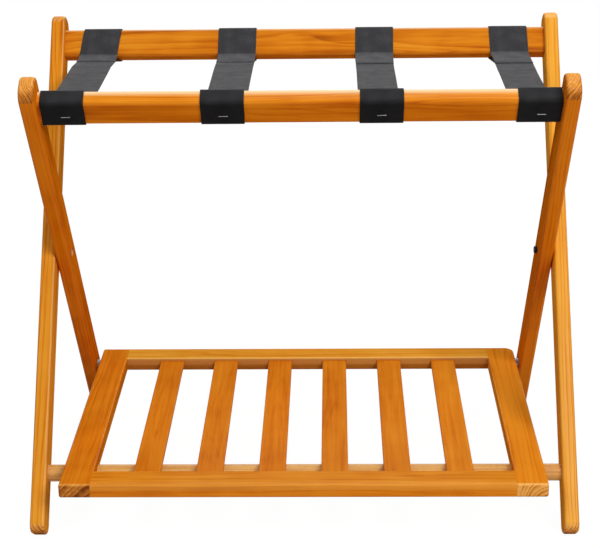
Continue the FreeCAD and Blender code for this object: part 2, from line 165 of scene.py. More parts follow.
def middle_of(node_name):
    """Middle of a solid's box, in millimetres: half the sum of its two corners."""
    low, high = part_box(node_name)
    return (np.array(low) + np.array(high)) * (TO_MM / 2.0)


print("a leg's top, turned:", turned(GRAIN_TURNS["inner leg"], (0, -math.sin(LEAN), math.cos(LEAN))))

# %% [markdown]
# ## Distance from the centre of the tree
#
# Pine grows a wide pale band each spring and a thin dark one each summer.  A saw that cuts
# along the trunk turns those rings into long wavy stripes, and across it into arcs.  So the
# colour will be a function of the distance from the tree's centre.  The same formula then
# gives stripes on the faces and arcs on the ends, as in real wood.  No trunk is straight:
# its centre wanders over the length, and each ring shivers a little.  Both come from noise
# whose cells are stretched along the grain.

# %% A wandering pith
WANDER = 26.0                # mm that the pith wanders in all
WANDER_CELL = (70.0, 70.0, 420.0)
SHIVER = 2.6                 # mm that a ring shivers
SHIVER_CELL = (14.0, 14.0, 110.0)


def stretched_noise(tree, place, cell, detail=2.0, roughness=0.5):
    """Noise of the place divided by a cell's three sizes, both in the same unit."""
    inside = add(tree, "ShaderNodeVectorMath", (place, tuple(1.0 / size for size in cell)),
                 operation="MULTIPLY")
    return add(tree, "ShaderNodeTexNoise", {"Vector": inside, "Scale": 1.0, "Detail": detail,
                                            "Roughness": roughness})


def bent_radius(group, place):
    """Length of the first two coordinates, after noise has pushed them aside.

    The wander is set back by half of its size, because noise is a half on average."""
    slow = stretched_noise(group, place, WANDER_CELL, 1.0).outputs["Color"]
    quick = stretched_noise(group, place, SHIVER_CELL).outputs["Color"]
    push = add(group, "ShaderNodeVectorMath",
               (slow, (WANDER, WANDER, 0.0), (-WANDER / 2.0, -WANDER / 2.0, 0.0)),
               operation="MULTIPLY_ADD")
    push = add(group, "ShaderNodeVectorMath", (quick, (SHIVER, SHIVER, 0.0), push),
               operation="MULTIPLY_ADD")
    bent = add(group, "ShaderNodeVectorMath", (place, push), operation="ADD")
    flat = add(group, "ShaderNodeVectorMath", (bent, (1.0, 1.0, 0.0)), operation="MULTIPLY")
    return add(group, "ShaderNodeVectorMath", (flat,), operation="LENGTH")


print("the pith wanders by", WANDER, "mm and the rings shiver by", SHIVER, "mm")

# %% [markdown]
# ## Summer bands
#
# Spring wood is pale; it darkens slowly to the summer band and then ends at once.  So the
# distance from the pith, counted in rings, is cut into whole rings and a place within each,
# and a ramp turns that place into darkness.  Good and bad years come from noise along the
# radius, which drifts the spacing.  A second noise gives every ring its own strength.

# %% Rings from the radius
SUMMER_BAND = [              # place within a ring, darkness
    (0.0, 0.10), (0.12, 0.0), (0.55, 0.22), (0.84, 0.92), (0.93, 1.0), (1.0, 0.10)]
YEARS_PER_MM = 0.11          # pace of the good and bad years along the radius
YEARS_DRIFT = 2.2            # rings that they push the count on
RING_NOISE_PACE = 0.37       # step of the noise from ring to ring
STRENGTH = (1.1, 0.1)        # of a ring: times its noise, plus this


def summer_bands(group, radius, spacing):
    """Darkness at the fraction of the ring count, times a strength for its whole number."""
    pace = add(group, "ShaderNodeMath", (radius, YEARS_PER_MM), operation="MULTIPLY")
    years = add(group, "ShaderNodeTexNoise", {"W": pace, "Scale": 1.0, "Detail": 1.0},
                noise_dimensions="1D")
    drift = add(group, "ShaderNodeMath", (years, YEARS_DRIFT), operation="MULTIPLY")
    count = add(group, "ShaderNodeMath", (radius, spacing), operation="DIVIDE")
    count = add(group, "ShaderNodeMath", (count, drift), operation="ADD")
    phase = add(group, "ShaderNodeMath", (count,), operation="FRACT")
    band = add(group, "ShaderNodeValToRGB", (phase,),
               stops=[(place, (dark, dark, dark, 1.0)) for place, dark in SUMMER_BAND])
    ring = add(group, "ShaderNodeMath", (count,), operation="FLOOR")
    strength = add(group, "ShaderNodeTexNoise", {"W": ring, "Scale": RING_NOISE_PACE,
                                                 "Detail": 0.0}, noise_dimensions="1D")
    strength = add(group, "ShaderNodeMath", (strength, *STRENGTH), operation="MULTIPLY_ADD")
    return add(group, "ShaderNodeMath", (band, strength), operation="MULTIPLY")


print("darkest place in a ring:", max(SUMMER_BAND, key=lambda stop: stop[1])[0])

# %% [markdown]
# ## Honey stain
#
# Over the rings lie finer things: fibres as thin as hairs, streaks, and stain patches as long
# as a hand.  They add up to one tone, which a ramp turns into the colour of the stain.  Stain
# sinks deeper into end grain, so most ends are darker; on top of that, painted light makes
# ends that face up paler and ends that face down darker.  On some boards, painted light also
# makes faces that look up paler and more golden.

# %% Tone and colour of the stain
GRAIN_LAYERS = {
    # the noise's cell in mm, its detail and roughness, its share of the tone
    "fibres": ((0.85, 0.85, 42.0), 3.0, 0.6, 0.30),
    "streaks": ((4.5, 4.5, 150.0), 2.0, 0.5, 0.55),
    "patches": ((38.0, 38.0, 160.0), 2.0, 0.5, 0.50),
    "figure": ((30.0, 30.0, 34.0), 1.0, 0.5, 0.24),
}
GOLDEN = [(0.0, "#EBA63C"), (0.25, "#E29428"), (0.5, "#D68018"), (0.75, "#BE640C"),
          (1.0, "#8C4206")]
AMBER = [(0.0, "#EA8E1E"), (0.25, "#E07E12"), (0.5, "#D46E0A"), (0.75, "#B85406"),
         (1.0, "#883603")]
ACROSS = [(0.0, "#F0AE58"), (0.3, "#DD9440"), (0.6, "#B86A22"), (1.0, "#7A3A0C")]
SUMMER_TONE = 0.46           # how much darker a summer band is
PLAIN_TONE = 0.30            # of wood with no band, fibre or patch
LIT_TOP_TONE = -0.22           # painted light: added where a face looks up, times the board's share
END_STAIN_AND_LIGHT = (-0.36, 0.12)   # on an end: painted light and shade times Up, plus the stain's own darkening


def stain_tone(group, given, summer, layers):
    """Depth + rings + noise layers, each layer centred on nought, less the painted light on faces
    that look up.
    """
    tone = 0.0
    for name, (_, _, _, share) in GRAIN_LAYERS.items():
        layer = add(group, "ShaderNodeMath", (layers[name], share, -share / 2.0),
                    operation="MULTIPLY_ADD")
        tone = add(group, "ShaderNodeMath", (tone, layer), operation="ADD")
    tone = add(group, "ShaderNodeMath", (tone, given["Depth"]), operation="ADD")
    # Painted light: faces that look up are made paler, by the board's Painted Light input.
    lit_top = add(group, "ShaderNodeMath", (given["Painted Light"], given["Up"]), operation="MULTIPLY")
    tone = add(group, "ShaderNodeMath", (lit_top, LIT_TOP_TONE, tone), operation="MULTIPLY_ADD")
    tone = add(group, "ShaderNodeMath", (tone, PLAIN_TONE), operation="ADD")
    rings = add(group, "ShaderNodeMath", (summer, SUMMER_TONE), operation="MULTIPLY")
    return lit_top, add(group, "ShaderNodeMath", (rings, tone), operation="ADD", use_clamp=True)


def stain_colour(group, given, tone, lit_top):
    """Golden to amber by the board's own redness, and the end grain's ramp where it was cut."""
    golden = add(group, "ShaderNodeValToRGB", (tone,), stops=GOLDEN)
    amber = add(group, "ShaderNodeValToRGB", (tone,), stops=AMBER)
    # Ends that face up are painted paler and ends that face down darker, as painted light and shade.
    end_tone_lit = add(group, "ShaderNodeMath", (given["Up"], *END_STAIN_AND_LIGHT), operation="MULTIPLY_ADD")
    end_tone_lit = add(group, "ShaderNodeMath", (tone, end_tone_lit), operation="ADD")
    across = add(group, "ShaderNodeValToRGB", (end_tone_lit,), stops=ACROSS)
    # Painted light takes redness from faces that look up.
    redness = add(group, "ShaderNodeMath", (given["Amber"], lit_top), operation="SUBTRACT",
                  use_clamp=True)
    faces = add(group, "ShaderNodeMix", {"Factor": redness, "A": golden, "B": amber},
                data_type="RGBA")
    return add(group, "ShaderNodeMix", {"Factor": given["End"], "A": faces, "B": across},
               data_type="RGBA")


print("stain made of:", ", ".join(GRAIN_LAYERS))

# %% [markdown]
# ## Stained pine as one group
#
# Rings and stain now become one group of nodes, built once, that each piece feeds with its
# own place in the tree.  It gives three things back: the colour, a height for the bump, and
# the roughness of the wood under its varnish.  The bands show harder on an end than on a
# face, most where the end looks down.

# %% The growth ring group
RING_SOCKETS = [
    # name, direction, kind
    ("Place", "INPUT", "Vector"),       # mm from the pith, grain along the third number
    ("End", "INPUT", "Float"),          # 1 where the saw cut across the grain
    ("Spacing", "INPUT", "Float"),      # mm from one summer band to the next
    ("Contrast", "INPUT", "Float"),     # of the summer bands
    ("Depth", "INPUT", "Float"),        # of the stain
    ("Amber", "INPUT", "Float"),        # 0 for golden stain, 1 for amber
    ("Painted Light", "INPUT", "Float"),         # painted light: how far a face that looks up is painted paler and more golden
    ("Up", "INPUT", "Float"),           # 1 where the surface faces up, -1 where it faces down
    ("Color", "OUTPUT", "Color"),
    ("Height", "OUTPUT", "Float"),
    ("Gloss", "OUTPUT", "Float"),
]
END_BANDS = (-1.1, 1.9)      # contrast of the bands on an end: times Up, plus this
END_ROUGH = (0.12, 0.34)     # roughness: times End, plus this
PATCHY_ROUGH = 0.16          # what the stain patches add to it


def growth_rings():
    """Group: place in the trunk to the colour, height and gloss of stained pine."""
    group = bpy.data.node_groups.new("growth_rings", "ShaderNodeTree")
    for name, way, kind in RING_SOCKETS:
        group.interface.new_socket(name, in_out=way, socket_type="NodeSocket" + kind)
    given = add(group, "NodeGroupInput").outputs
    summer = summer_bands(group, bent_radius(group, given["Place"]), given["Spacing"])
    side = add(group, "ShaderNodeMath", (1.0, given["End"]), operation="SUBTRACT")
    on_faces = add(group, "ShaderNodeMath", (given["Contrast"], side), operation="MULTIPLY")
    on_ends = add(group, "ShaderNodeMath", (given["Up"], *END_BANDS), operation="MULTIPLY_ADD")
    on_ends = add(group, "ShaderNodeMath", (given["End"], on_ends), operation="MULTIPLY")
    shown = add(group, "ShaderNodeMath", (on_faces, on_ends), operation="ADD")
    summer = add(group, "ShaderNodeMath", (summer, shown), operation="MULTIPLY", use_clamp=True)
    layers = {name: stretched_noise(group, given["Place"], cell, detail, roughness)
              for name, (cell, detail, roughness, _) in GRAIN_LAYERS.items()}
    lit_top, tone = stain_tone(group, given, summer, layers)
    stain = stain_colour(group, given, tone, lit_top)
    # Summer wood is harder and stands proud after sanding.  Half the height is its own, and
    # half the fibres'.
    ridges = add(group, "ShaderNodeMath", (summer, 0.5), operation="MULTIPLY")
    hairs = add(group, "ShaderNodeMath", (layers["fibres"], 0.5), operation="MULTIPLY")
    height = add(group, "ShaderNodeMath", (ridges, hairs), operation="ADD")
    gloss = add(group, "ShaderNodeMath", (given["End"], *END_ROUGH), operation="MULTIPLY_ADD")
    gloss = add(group, "ShaderNodeMath", (layers["patches"], PATCHY_ROUGH, gloss),
                operation="MULTIPLY_ADD")
    add(group, "NodeGroupOutput", {"Color": stain, "Height": height, "Gloss": gloss})
    return group


PINE_RINGS = growth_rings()
print("growth ring group:", len(PINE_RINGS.nodes), "nodes")

# %% [markdown]
# ## A board's place in the tree, and its varnish
#
# Two boards never show the same grain, because each sat somewhere else in the trunk.  A pith
# far off the wide face gives the broad flames of flat-sawn wood; one to the side gives narrow
# straight lines.  End grain is found from the surface's own direction: where it faces along
# the grain, the saw cut across.
#
# A satin varnish lies on top: a clear coat with its own smooth gloss.  Hands have polished
# the rounded edges, the arrises, so these shine a little more where they face up.

# %% Place in the trunk and clear coat
END_GRAIN = (0.06, 0.34)     # the direction's share along the grain: side grain, end grain
ARRIS = (0.995, 0.91)        # its largest share on one of the board's axes: face, arris
LEVEL_TO_UP = (0.45, 0.85)   # the direction's upward share: level arris, arris facing up
COAT_ON_ARRISES = (0.12, 0.22)       # on level ones, and on those that face up
COAT_ON_FACES = 0.12
COAT_GONE_AT = 0.7           # slant at which a face's coat no longer shows


def in_the_trunk(tree, node_name, grain, pith, shift):
    """Texture outputs, the place in mm from the pith, and the direction the surface faces.

    The place is turned to the grain, less the board's middle and the pith.  Boards are
    shifted along the trunk so that no two show the same noise."""
    turn = GRAIN_TURNS[grain]
    offset = np.array([-pith[0], -pith[1], shift]) - turned(turn, middle_of(node_name))
    where = add(tree, "ShaderNodeTexCoord").outputs
    place = add(tree, "ShaderNodeMapping", {"Vector": where["Object"], "Scale": (TO_MM,) * 3,
                                            "Rotation": turn,
                                            "Location": tuple(offset.tolist())})
    facing = add(tree, "ShaderNodeMapping", {"Vector": where["Normal"], "Rotation": turn})
    return where, place, facing


def varnish(tree, shares, up):
    """Weight of the coat: on faces it falls with the slant, on arrises it grows with up.

    On a flat face the direction is one of the board's own axes; on an arris it is between."""
    widest = add(tree, "ShaderNodeMath", (shares["X"], shares["Y"]), operation="MAXIMUM")
    widest = add(tree, "ShaderNodeMath", (widest, shares["Z"]), operation="MAXIMUM")
    arris = add(tree, "ShaderNodeMapRange", (widest, *ARRIS), interpolation_type="SMOOTHSTEP")
    handled = add(tree, "ShaderNodeMapRange", (up, *LEVEL_TO_UP, *COAT_ON_ARRISES))
    slant = add(tree, "ShaderNodeLayerWeight", {"Blend": 0.5}).outputs["Facing"]
    coat = add(tree, "ShaderNodeMapRange", (slant, 0.0, COAT_GONE_AT, COAT_ON_FACES, 0.0))
    return add(tree, "ShaderNodeMix", {"Factor": arris, "A": coat, "B": handled})


print("clear coat on faces:", COAT_ON_FACES, "and on arrises:", COAT_ON_ARRISES)

# %% [markdown]
# ## Painted highlights on edges, and painted shade on a face
#
# Some rounded edges get a painted highlight: a pale colour along them that stands in for the
# shine of the lamps.  It follows an edge, so it depends on the distance from one line along
# the board.  The inner face of the shelf's rear rail gets painted shade: dark below and just
# under its top edge, tan between.

# %% Painted highlights and shade
ARRIS_HIGHLIGHTS = {
    # the painted highlight's edge across the board from its middle and how far it reaches, in mm,
    # its share and its colour
    "front_top_rail": (-19.0, 10.2, 11.0, 0.85, "#FBDCAC"),
    "rear_top_rail": (-19.0, -10.2, 4.5, 0.6, "#F6CE94"),
    "outer_leg_left": (8.2, -18.2, 1.9, 0.5, "#F4BE78"),
    "shelf_front_rail": (-8.0, -17.6, 10.0, 0.26, "#F0AE50"),
    "shelf_rear_rail": (-8.6, -17.2, 3.6, 0.7, "#F6BE60"),
}
# Painted shade on the inner face of the shelf's rear rail: dark at the bottom and just under the top
# edge, tan between.
SHADE_PAINTED_RAIL = "shelf_rear_rail"
PAINTED_SHADE_TONES = [(0.0, "#6A3412"), (0.36, "#7E4218"), (0.54, "#B87840"), (0.86, "#C08248"),
             (1.0, "#985824")]
PAINTED_SHADE_HEIGHT = (0.071, 0.0885)    # m above the floor, where the ramp starts and ends
PAINTED_SHADE_FACING = (-0.7, -0.95)      # the direction's share across the rail: edge, face
GRAIN_LEFT = 0.35                    # of the board's own colour in the painted shade


def painted_highlight_edge(tree, node_name, place, pith, colour):
    """Colour mixed with a painted highlight, most near the edge: distance from a line, smoothed."""
    edge_x, edge_y, reach, share, highlight_colour = ARRIS_HIGHLIGHTS[node_name]
    flat = add(tree, "ShaderNodeVectorMath", (place, (1.0, 1.0, 0.0)), operation="MULTIPLY")
    away = add(tree, "ShaderNodeVectorMath", (flat, (edge_x - pith[0], edge_y - pith[1], 0.0)),
               operation="DISTANCE")
    through = add(tree, "ShaderNodeMapRange", (away, reach * 0.25, reach, share, 0.0),
                  interpolation_type="SMOOTHSTEP")
    return add(tree, "ShaderNodeMix", {"Factor": through, "A": colour,
                                       "B": linear(highlight_colour)}, data_type="RGBA")


def painted_shade_face(tree, where, facing, colour):
    """Painted shade: a ramp over the height, dark below and under the top edge and tan between, with
    some grain left in it, on the face that looks inwards.
    """
    inwards = add(tree, "ShaderNodeSeparateXYZ", (facing,)).outputs["Y"]
    inside = add(tree, "ShaderNodeMapRange", (inwards, *PAINTED_SHADE_FACING, 0.0, 1.0))
    height = add(tree, "ShaderNodeSeparateXYZ", (where["Object"],)).outputs["Z"]
    height = add(tree, "ShaderNodeMapRange", (height, *PAINTED_SHADE_HEIGHT))
    shade_tones = add(tree, "ShaderNodeValToRGB", (height,), stops=PAINTED_SHADE_TONES)
    grained = add(tree, "ShaderNodeMix", {"Factor": GRAIN_LEFT, "A": shade_tones, "B": colour},
                  data_type="RGBA")
    return add(tree, "ShaderNodeMix", {"Factor": inside, "A": colour, "B": grained},
               data_type="RGBA")


# Lists the boards that carry a painted highlight along an edge.
print("worn edges:", ", ".join(ARRIS_HIGHLIGHTS))

# %% [markdown]
# ## Varnished pine, board by board
#
# Each piece of pine gets a material of its own: the same group, fed with where this board sat
# in the trunk and how deep its stain took.  The eye gets broad flames and narrow lines in
# honey colours under a soft gloss.  The bump is a tenth of a millimetre, as on sanded and
# varnished softwood.

# %% Pine for every board
BOARDS = [
    # solid, grain, pith from the board's middle and shift along the trunk in mm, spacing and
    # contrast of the rings, depth of the stain and its drift per metre (on the legs a painted shade
    # that darkens one end), amber, painted light on faces that look up
    ("inner_leg_left", "inner leg", (60.0, 14.0), 300.0, 3.0, 0.5, 0.14, -0.45, 1.0, 0.0),
    ("inner_leg_right", "inner leg", (-46.0, 44.0), 1900.0, 2.6, 0.7, 0.08, 0.15, 0.9, 0.0),
    ("outer_leg_left", "outer leg", (-38.0, 30.0), 3700.0, 3.4, 1.0, -0.05, 0.50, 0.1, 0.0),
    ("outer_leg_right", "outer leg", (44.0, 22.0), 5200.0, 4.2, 1.9, -0.26, 0.0, 0.0, 0.0),
    ("front_top_rail", "front rail", (8.0, 62.0), 6900.0, 3.2, 0.7, 0.07, 0.0, 0.55, 0.35),
    ("rear_top_rail", "rear rail", (-6.0, 55.0), 8800.0, 3.2, 0.6, 0.26, 0.0, 0.10, 0.1),
    ("shelf_front_rail", "shelf rail", (-62.0, 10.0), 10400.0, 3.2, 0.5, 0.12, 0.0, 0.5, 0.25),
    ("shelf_rear_rail", "shelf rail", (-56.0, -12.0), 12100.0, 3.0, 0.5, 0.03, 0.0, 0.4, 0.7),
    ("shelf_stile_left", "shelf length", (32.0, 44.0), 13700.0, 6.0, 0.6, 0.09, 0.0, 0.65, 0.0),
    ("shelf_stile_right", "shelf length", (24.0, 20.0), 15900.0, 4.4, 1.1, -0.34, 0.0, 0.95, 0.0),
    ("shelf_slat_1", "shelf length", (4.0, -44.0), 17100.0, 3.1, 0.30, 0.12, 0.0, 0.65, 0.0),
    ("shelf_slat_2", "shelf length", (-7.0, -50.0), 18800.0, 3.1, 0.25, 0.06, 0.0, 0.65, 0.0),
    ("shelf_slat_3", "shelf length", (10.0, -38.0), 20100.0, 3.3, 0.22, 0.16, 0.0, 0.7, 0.0),
    ("shelf_slat_4", "shelf length", (-2.0, -58.0), 22400.0, 2.9, 0.25, 0.09, 0.0, 0.65, 0.0),
    ("shelf_slat_5", "shelf length", (6.0, -47.0), 24300.0, 3.1, 0.25, 0.13, 0.0, 0.6, 0.0),
    ("shelf_slat_6", "shelf length", (-5.0, -41.0), 26100.0, 3.1, 0.28, 0.04, 0.0, 0.55, 0.0),
]


def pine(node_name, grain, pith, shift, spacing, contrast, depth, drift, amber, painted_light):
    """Material for one board: its depth is a number plus drift times metres along; on the legs that
    drift is painted shade.
    """
    material, tree, shader = new_material("varnished_pine_" + node_name, {
        "IOR": 1.5, "Specular IOR Level": 0.0, "Coat Roughness": 0.2, "Coat IOR": 1.5})
    where, place, facing = in_the_trunk(tree, node_name, grain, pith, shift)
    shares = add(tree, "ShaderNodeVectorMath", (facing,), operation="ABSOLUTE")
    shares = add(tree, "ShaderNodeSeparateXYZ", (shares,)).outputs
    end = add(tree, "ShaderNodeMapRange", (shares["Z"], *END_GRAIN),
              interpolation_type="SMOOTHSTEP")
    up = add(tree, "ShaderNodeSeparateXYZ", (where["Normal"],)).outputs["Z"]
    length = add(tree, "ShaderNodeSeparateXYZ", (place,)).outputs["Z"]
    # Painted shade: on the legs the drift darkens one end of the board.
    per_mm = drift * TO_METRES
    depth = add(tree, "ShaderNodeMath", (length, per_mm, depth - per_mm * shift),
                operation="MULTIPLY_ADD")
    rings = add(tree, "ShaderNodeGroup", {"Place": place, "End": end, "Spacing": spacing,
                                          "Contrast": contrast, "Depth": depth, "Amber": amber,
                                          "Painted Light": painted_light, "Up": up}, node_tree=PINE_RINGS).outputs
    bump = add(tree, "ShaderNodeBump", {"Height": rings["Height"], "Strength": 0.35,
                                        "Distance": 0.00012})
    colour = rings["Color"]
    # Painted highlight along one edge of some boards.
    if node_name in ARRIS_HIGHLIGHTS:
        colour = painted_highlight_edge(tree, node_name, place, pith, colour)
    # Painted shade on the inner face of the shelf's rear rail.
    if node_name == SHADE_PAINTED_RAIL:
        colour = painted_shade_face(tree, where, facing, colour)
    fill(tree, shader, {"Base Color": colour, "Roughness": rings["Gloss"], "Normal": bump,
                        "Coat Weight": varnish(tree, shares, up)})
    return material


def dress(node_name, material):
    """Puts a material in every slot of a solid that stays."""
    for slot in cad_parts[node_name].material_slots:
        slot.material = material


for board in BOARDS:
    dress(board[0], pine(*board))
print("boards of pine:", len(BOARDS))

# %% [markdown]
# ## Varnished beech
#
# The round dowel and the hidden pins are turned from beech, which has no loud rings.  It is
# paler and pinker than pine, with short dark flecks a millimetre or two long and faint lines
# along the rod.  A turned rod's own axis is X, so the same coordinates serve the whole set.

# %% Beech for the dowel and pins
BEECH_LINES = [(0.30, "#E6B468"), (0.52, "#DAA056"), (0.74, "#C68A44")]
BEECH_CELLS = [
    # size along the rod and across it in metres, detail
    (0.1200, 0.0022, 2.0),           # lines
    (0.0026, 0.0005, 0.0),           # flecks
    (0.0600, 0.0090, 2.0),           # clouds in the gloss
    (0.0300, 0.0009, 2.0),           # fine bumps
]
FLECKS_FROM = (0.66, 0.76)           # of the fleck noise: none, full
FLECK_SHARE = 0.45
BEECH_ROUGH = (0.32, 0.48)


def beech():
    """Pale rod wood: fine lines along X, short flecks, and a satin coat."""
    material, tree, shader = new_material("turned_beech_varnished", {
        "IOR": 1.5, "Specular IOR Level": 0.1, "Coat Weight": 0.15, "Coat Roughness": 0.25,
        "Coat IOR": 1.5})
    where = add(tree, "ShaderNodeTexCoord").outputs["Object"]
    lines, flecks, clouds, fine = (stretched_noise(tree, where, (length, width, width), detail)
                                   for length, width, detail in BEECH_CELLS)
    wood = add(tree, "ShaderNodeValToRGB", (lines,), stops=BEECH_LINES)
    flecked = add(tree, "ShaderNodeMapRange", (flecks, *FLECKS_FROM, 0.0, FLECK_SHARE))
    stained = add(tree, "ShaderNodeMix", {"Factor": flecked, "A": wood, "B": linear("#8A4A14")},
                  data_type="RGBA")
    rough = add(tree, "ShaderNodeMapRange", (clouds, 0.0, 1.0, *BEECH_ROUGH))
    bump = add(tree, "ShaderNodeBump", {"Height": fine, "Strength": 0.3, "Distance": 0.0001})
    fill(tree, shader, {"Base Color": stained, "Roughness": rough, "Normal": bump})
    return material


BEECH = beech()
for node_name in ("front_dowel", "front_rail_pins", "rear_rail_pins", "shelf_pins"):
    dress(node_name, BEECH)
print("beech pieces dressed:", BEECH.name)

# %% [markdown]
# ## Zinc, black oxide and brass
#
# The bolts and washers are steel with a thin bright zinc plate: a slightly uneven grey metal
# that catches the light.  The shelf's spacers are galvanised, and dull.  The nut that shows
# at the pivot is blackened, and the end of its bolt shines in the middle.  The bushes in the
# shelf are brass, and hardly show.  All are the same recipe with other colours: metal, a
# cloudy roughness and a fine bump.

# %% Metals
CLOUD_MM = 2.4
GRIT_MM = 0.6
GRIT_HEIGHT = 0.00004        # m
METALS = {
    # start of the solid's name: material, pale and dark tone, least and most roughness
    "pivot_bolt": ("zinc_plated_steel_drawn", "#DEDFE1", "#B4B7BB", 0.22, 0.42),
    "pivot_nut_right": ("black_oxide_steel", "#2C2C2E", "#161617", 0.34, 0.52),
    "shelf_hinge_spacer": ("galvanised_steel_dull", "#A9ABAE", "#85888C", 0.40, 0.58),
    "shelf_hinge_bush": ("turned_brass", "#E0BE6E", "#C49A4C", 0.20, 0.36),
}


def metal(name, pale, dark, rough_low, rough_high):
    """A plated or oxidised metal: two tones in a cloudy pattern, cloudy roughness."""
    material, tree, shader = new_material(name, {"Metallic": 1.0})
    where = add(tree, "ShaderNodeTexCoord").outputs["Object"]
    clouds = add(tree, "ShaderNodeTexNoise", {"Vector": where, "Scale": TO_MM / CLOUD_MM,
                                              "Detail": 3.0})
    grit = add(tree, "ShaderNodeTexNoise", {"Vector": where, "Scale": TO_MM / GRIT_MM,
                                            "Detail": 1.0})
    colour = add(tree, "ShaderNodeValToRGB", (clouds,), stops=[(0.32, dark), (0.68, pale)])
    rough = add(tree, "ShaderNodeMapRange", (clouds, 0.3, 0.7, rough_low, rough_high))
    bump = add(tree, "ShaderNodeBump", {"Height": grit, "Strength": 0.25,
                                        "Distance": GRIT_HEIGHT})
    fill(tree, shader, {"Base Color": colour, "Roughness": rough, "Normal": bump})
    return material


metals = {start: metal(*recipe) for start, recipe in METALS.items()}
for start in ("pivot_washer", "pivot_sunk_nut", "shelf_hinge_bolt"):
    metals[start] = metals["pivot_bolt"]
for node_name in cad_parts:
    for start, material in metals.items():
        if node_name.startswith(start):
            dress(node_name, material)
DULL_ZINC = metals["shelf_hinge_spacer"]
print("metals:", sorted({material.name for material in metals.values()}))

# %% [markdown]
# ## The line a strap follows
#
# Each strap is one band of webbing.  At both ends it goes under a top rail, up its outer
# face, over the top and down the inner face, and then it is sewn down on itself.  Seen from
# the side that is a line of straight runs joined by arcs as tight as the rail's edges.
#
# The rails lean with their legs, so the line is worked out in the rail's own axes: a is the
# distance towards the middle of the rack, s the height along the leg from the pivot.  Where
# the band leaves a corner it leaves along the tangent to that corner's arc.

# %% Straight runs and arcs
PIVOT = np.array([9.187, 301.490])       # Y and Z of the pivot, mm
RAIL_HEIGHT = 38.0
RAIL_THICKNESS = 20.5
RAIL_EDGE = 5.0                          # radius of the rail's edges
RAIL_BOTTOMS = {"front": 263.1, "rear": 266.8}
ARC_STEP = 0.9                           # mm between points on an arc


def swung(a, b, angle):
    """A pair of coordinates turned by an angle, from the first axis towards the second."""
    return a * np.cos(angle) - b * np.sin(angle), a * np.sin(angle) + b * np.cos(angle)


def rounded_path(corners, radii, step):
    """Points along the runs between corners, each corner replaced by a tangent arc.

    An arc of radius r that turns by t starts r * tan(t / 2) before its corner and ends as
    far after it.  The arc's points turn evenly about its centre."""
    corners = np.asarray(corners, float)
    runs = np.diff(corners, axis=0)
    units = runs / np.linalg.norm(runs, axis=1)[:, None]
    pieces = []
    last = corners[0]
    for i, radius in enumerate(radii):
        before, after = units[i], units[i + 1]
        cross = before[0] * after[1] - before[1] * after[0]
        turn = math.atan2(cross, float(before @ after))
        reach = radius * math.tan(abs(turn) / 2.0)
        start = corners[i + 1] - before * reach
        side = np.array([-before[1], before[0]]) * math.copysign(1.0, turn)
        centre = start + side * radius
        count = max(2, int(math.ceil(np.linalg.norm(start - last) / step)))
        pieces.append(last + (start - last) * np.linspace(0, 1, count, endpoint=False)[:, None])
        bends = max(3, int(math.ceil(abs(turn) * radius / ARC_STEP)))
        angles = np.linspace(0, turn, bends, endpoint=False)
        pieces.append(centre + np.stack(swung(*(start - centre), angles), 1))
        last = corners[i + 1] + after * reach
    count = max(2, int(math.ceil(np.linalg.norm(corners[-1] - last) / step)))
    pieces.append(last + (corners[-1] - last) * np.linspace(0, 1, count + 1)[:, None])
    return np.concatenate(pieces)


def to_rail(place, point):
    """Y and Z in mm to a rail's own axes (a, s)."""
    y, z = np.asarray(point, float) - PIVOT
    return np.array(swung(y if place == "front" else -y, z, -LEAN))


def from_rail(place, point):
    """A rail's own axes (a, s), numbers or arrays, to Y and Z in mm."""
    y, z = swung(*point, LEAN)
    return np.stack([PIVOT[0] + (y if place == "front" else -y), PIVOT[1] + z], -1)


print("rail corner, there and back:", to_rail("rear", from_rail("rear", (10.25, 266.8))))

# %% [markdown]
# ## The whole line of one strap
#
# The lower layer runs from the seam to the rail's lower outer edge, so it stands clear of
# the rail's underside.  The upper layer comes down the inner face, leaves its lower edge and
# meets the lower layer at the seam.  Each tangent is found from the right triangle between
# the seam, the arc's centre and the touching point.

# %% Strap line
TAPE = 1.4                   # thickness of the webbing, mm
TAPE_WIDTH = 50.0
OFF_WOOD = 0.25              # webbing's underside above the wood
SPAN_LEVEL = 521.0           # middle of the free run, mm above the floor
LAYER_GAP = 0.08             # between the two layers at the seam
SEAM_BEFORE_CUT = 6.0        # where both layers meet, mm on the rail's side of the cut end
CREASE_BELOW = 1.5           # the upper layer's crease, below the rail's lower edge
DIP_RADIUS = 20.0            # where the lower layer leaves the level of the free run
CREASE_RADIUS = 1.6
SETTLE_RADIUS = 12.0         # where the turned-back end comes down on the lower layer
LINE_STEP = 3.0              # mm between points on a straight run
FRONT_CUT = 104.0            # distance of the front cut end from the pivot, mm
STATIONS = (-170.0, -140.0, -110.0, 0.0, 100.0, 145.0, 166.0)   # Y from the pivot, mm
STRAPS = [
    # X of the strap's middle at each station, the width of its free run against the tape's,
    # and the distance of its rear cut end from the pivot
    ((-270.0, -272.0, -274.5, -274.4, -275.4, -271.7, -266.6), 1.03, 126.0),
    ((-87.8, -89.0, -89.6, -89.7, -89.8, -88.8, -87.9), 1.00, 117.0),
    ((93.6, 93.2, 92.9, 92.6, 92.4, 92.7, 93.0), 0.98, 101.5),
    ((272.5, 272.2, 272.0, 271.8, 272.3, 270.3, 269.0), 0.975, 99.0),
]


def tangent_meets(point, centre, radius, wall):
    """Where the tangent from a point past a circle crosses the line a = wall."""
    to_centre = centre - point
    swing = math.asin(radius / np.linalg.norm(to_centre))
    heading = np.array(swung(*to_centre, swing))
    return point + heading * (wall - point[0]) / heading[0]


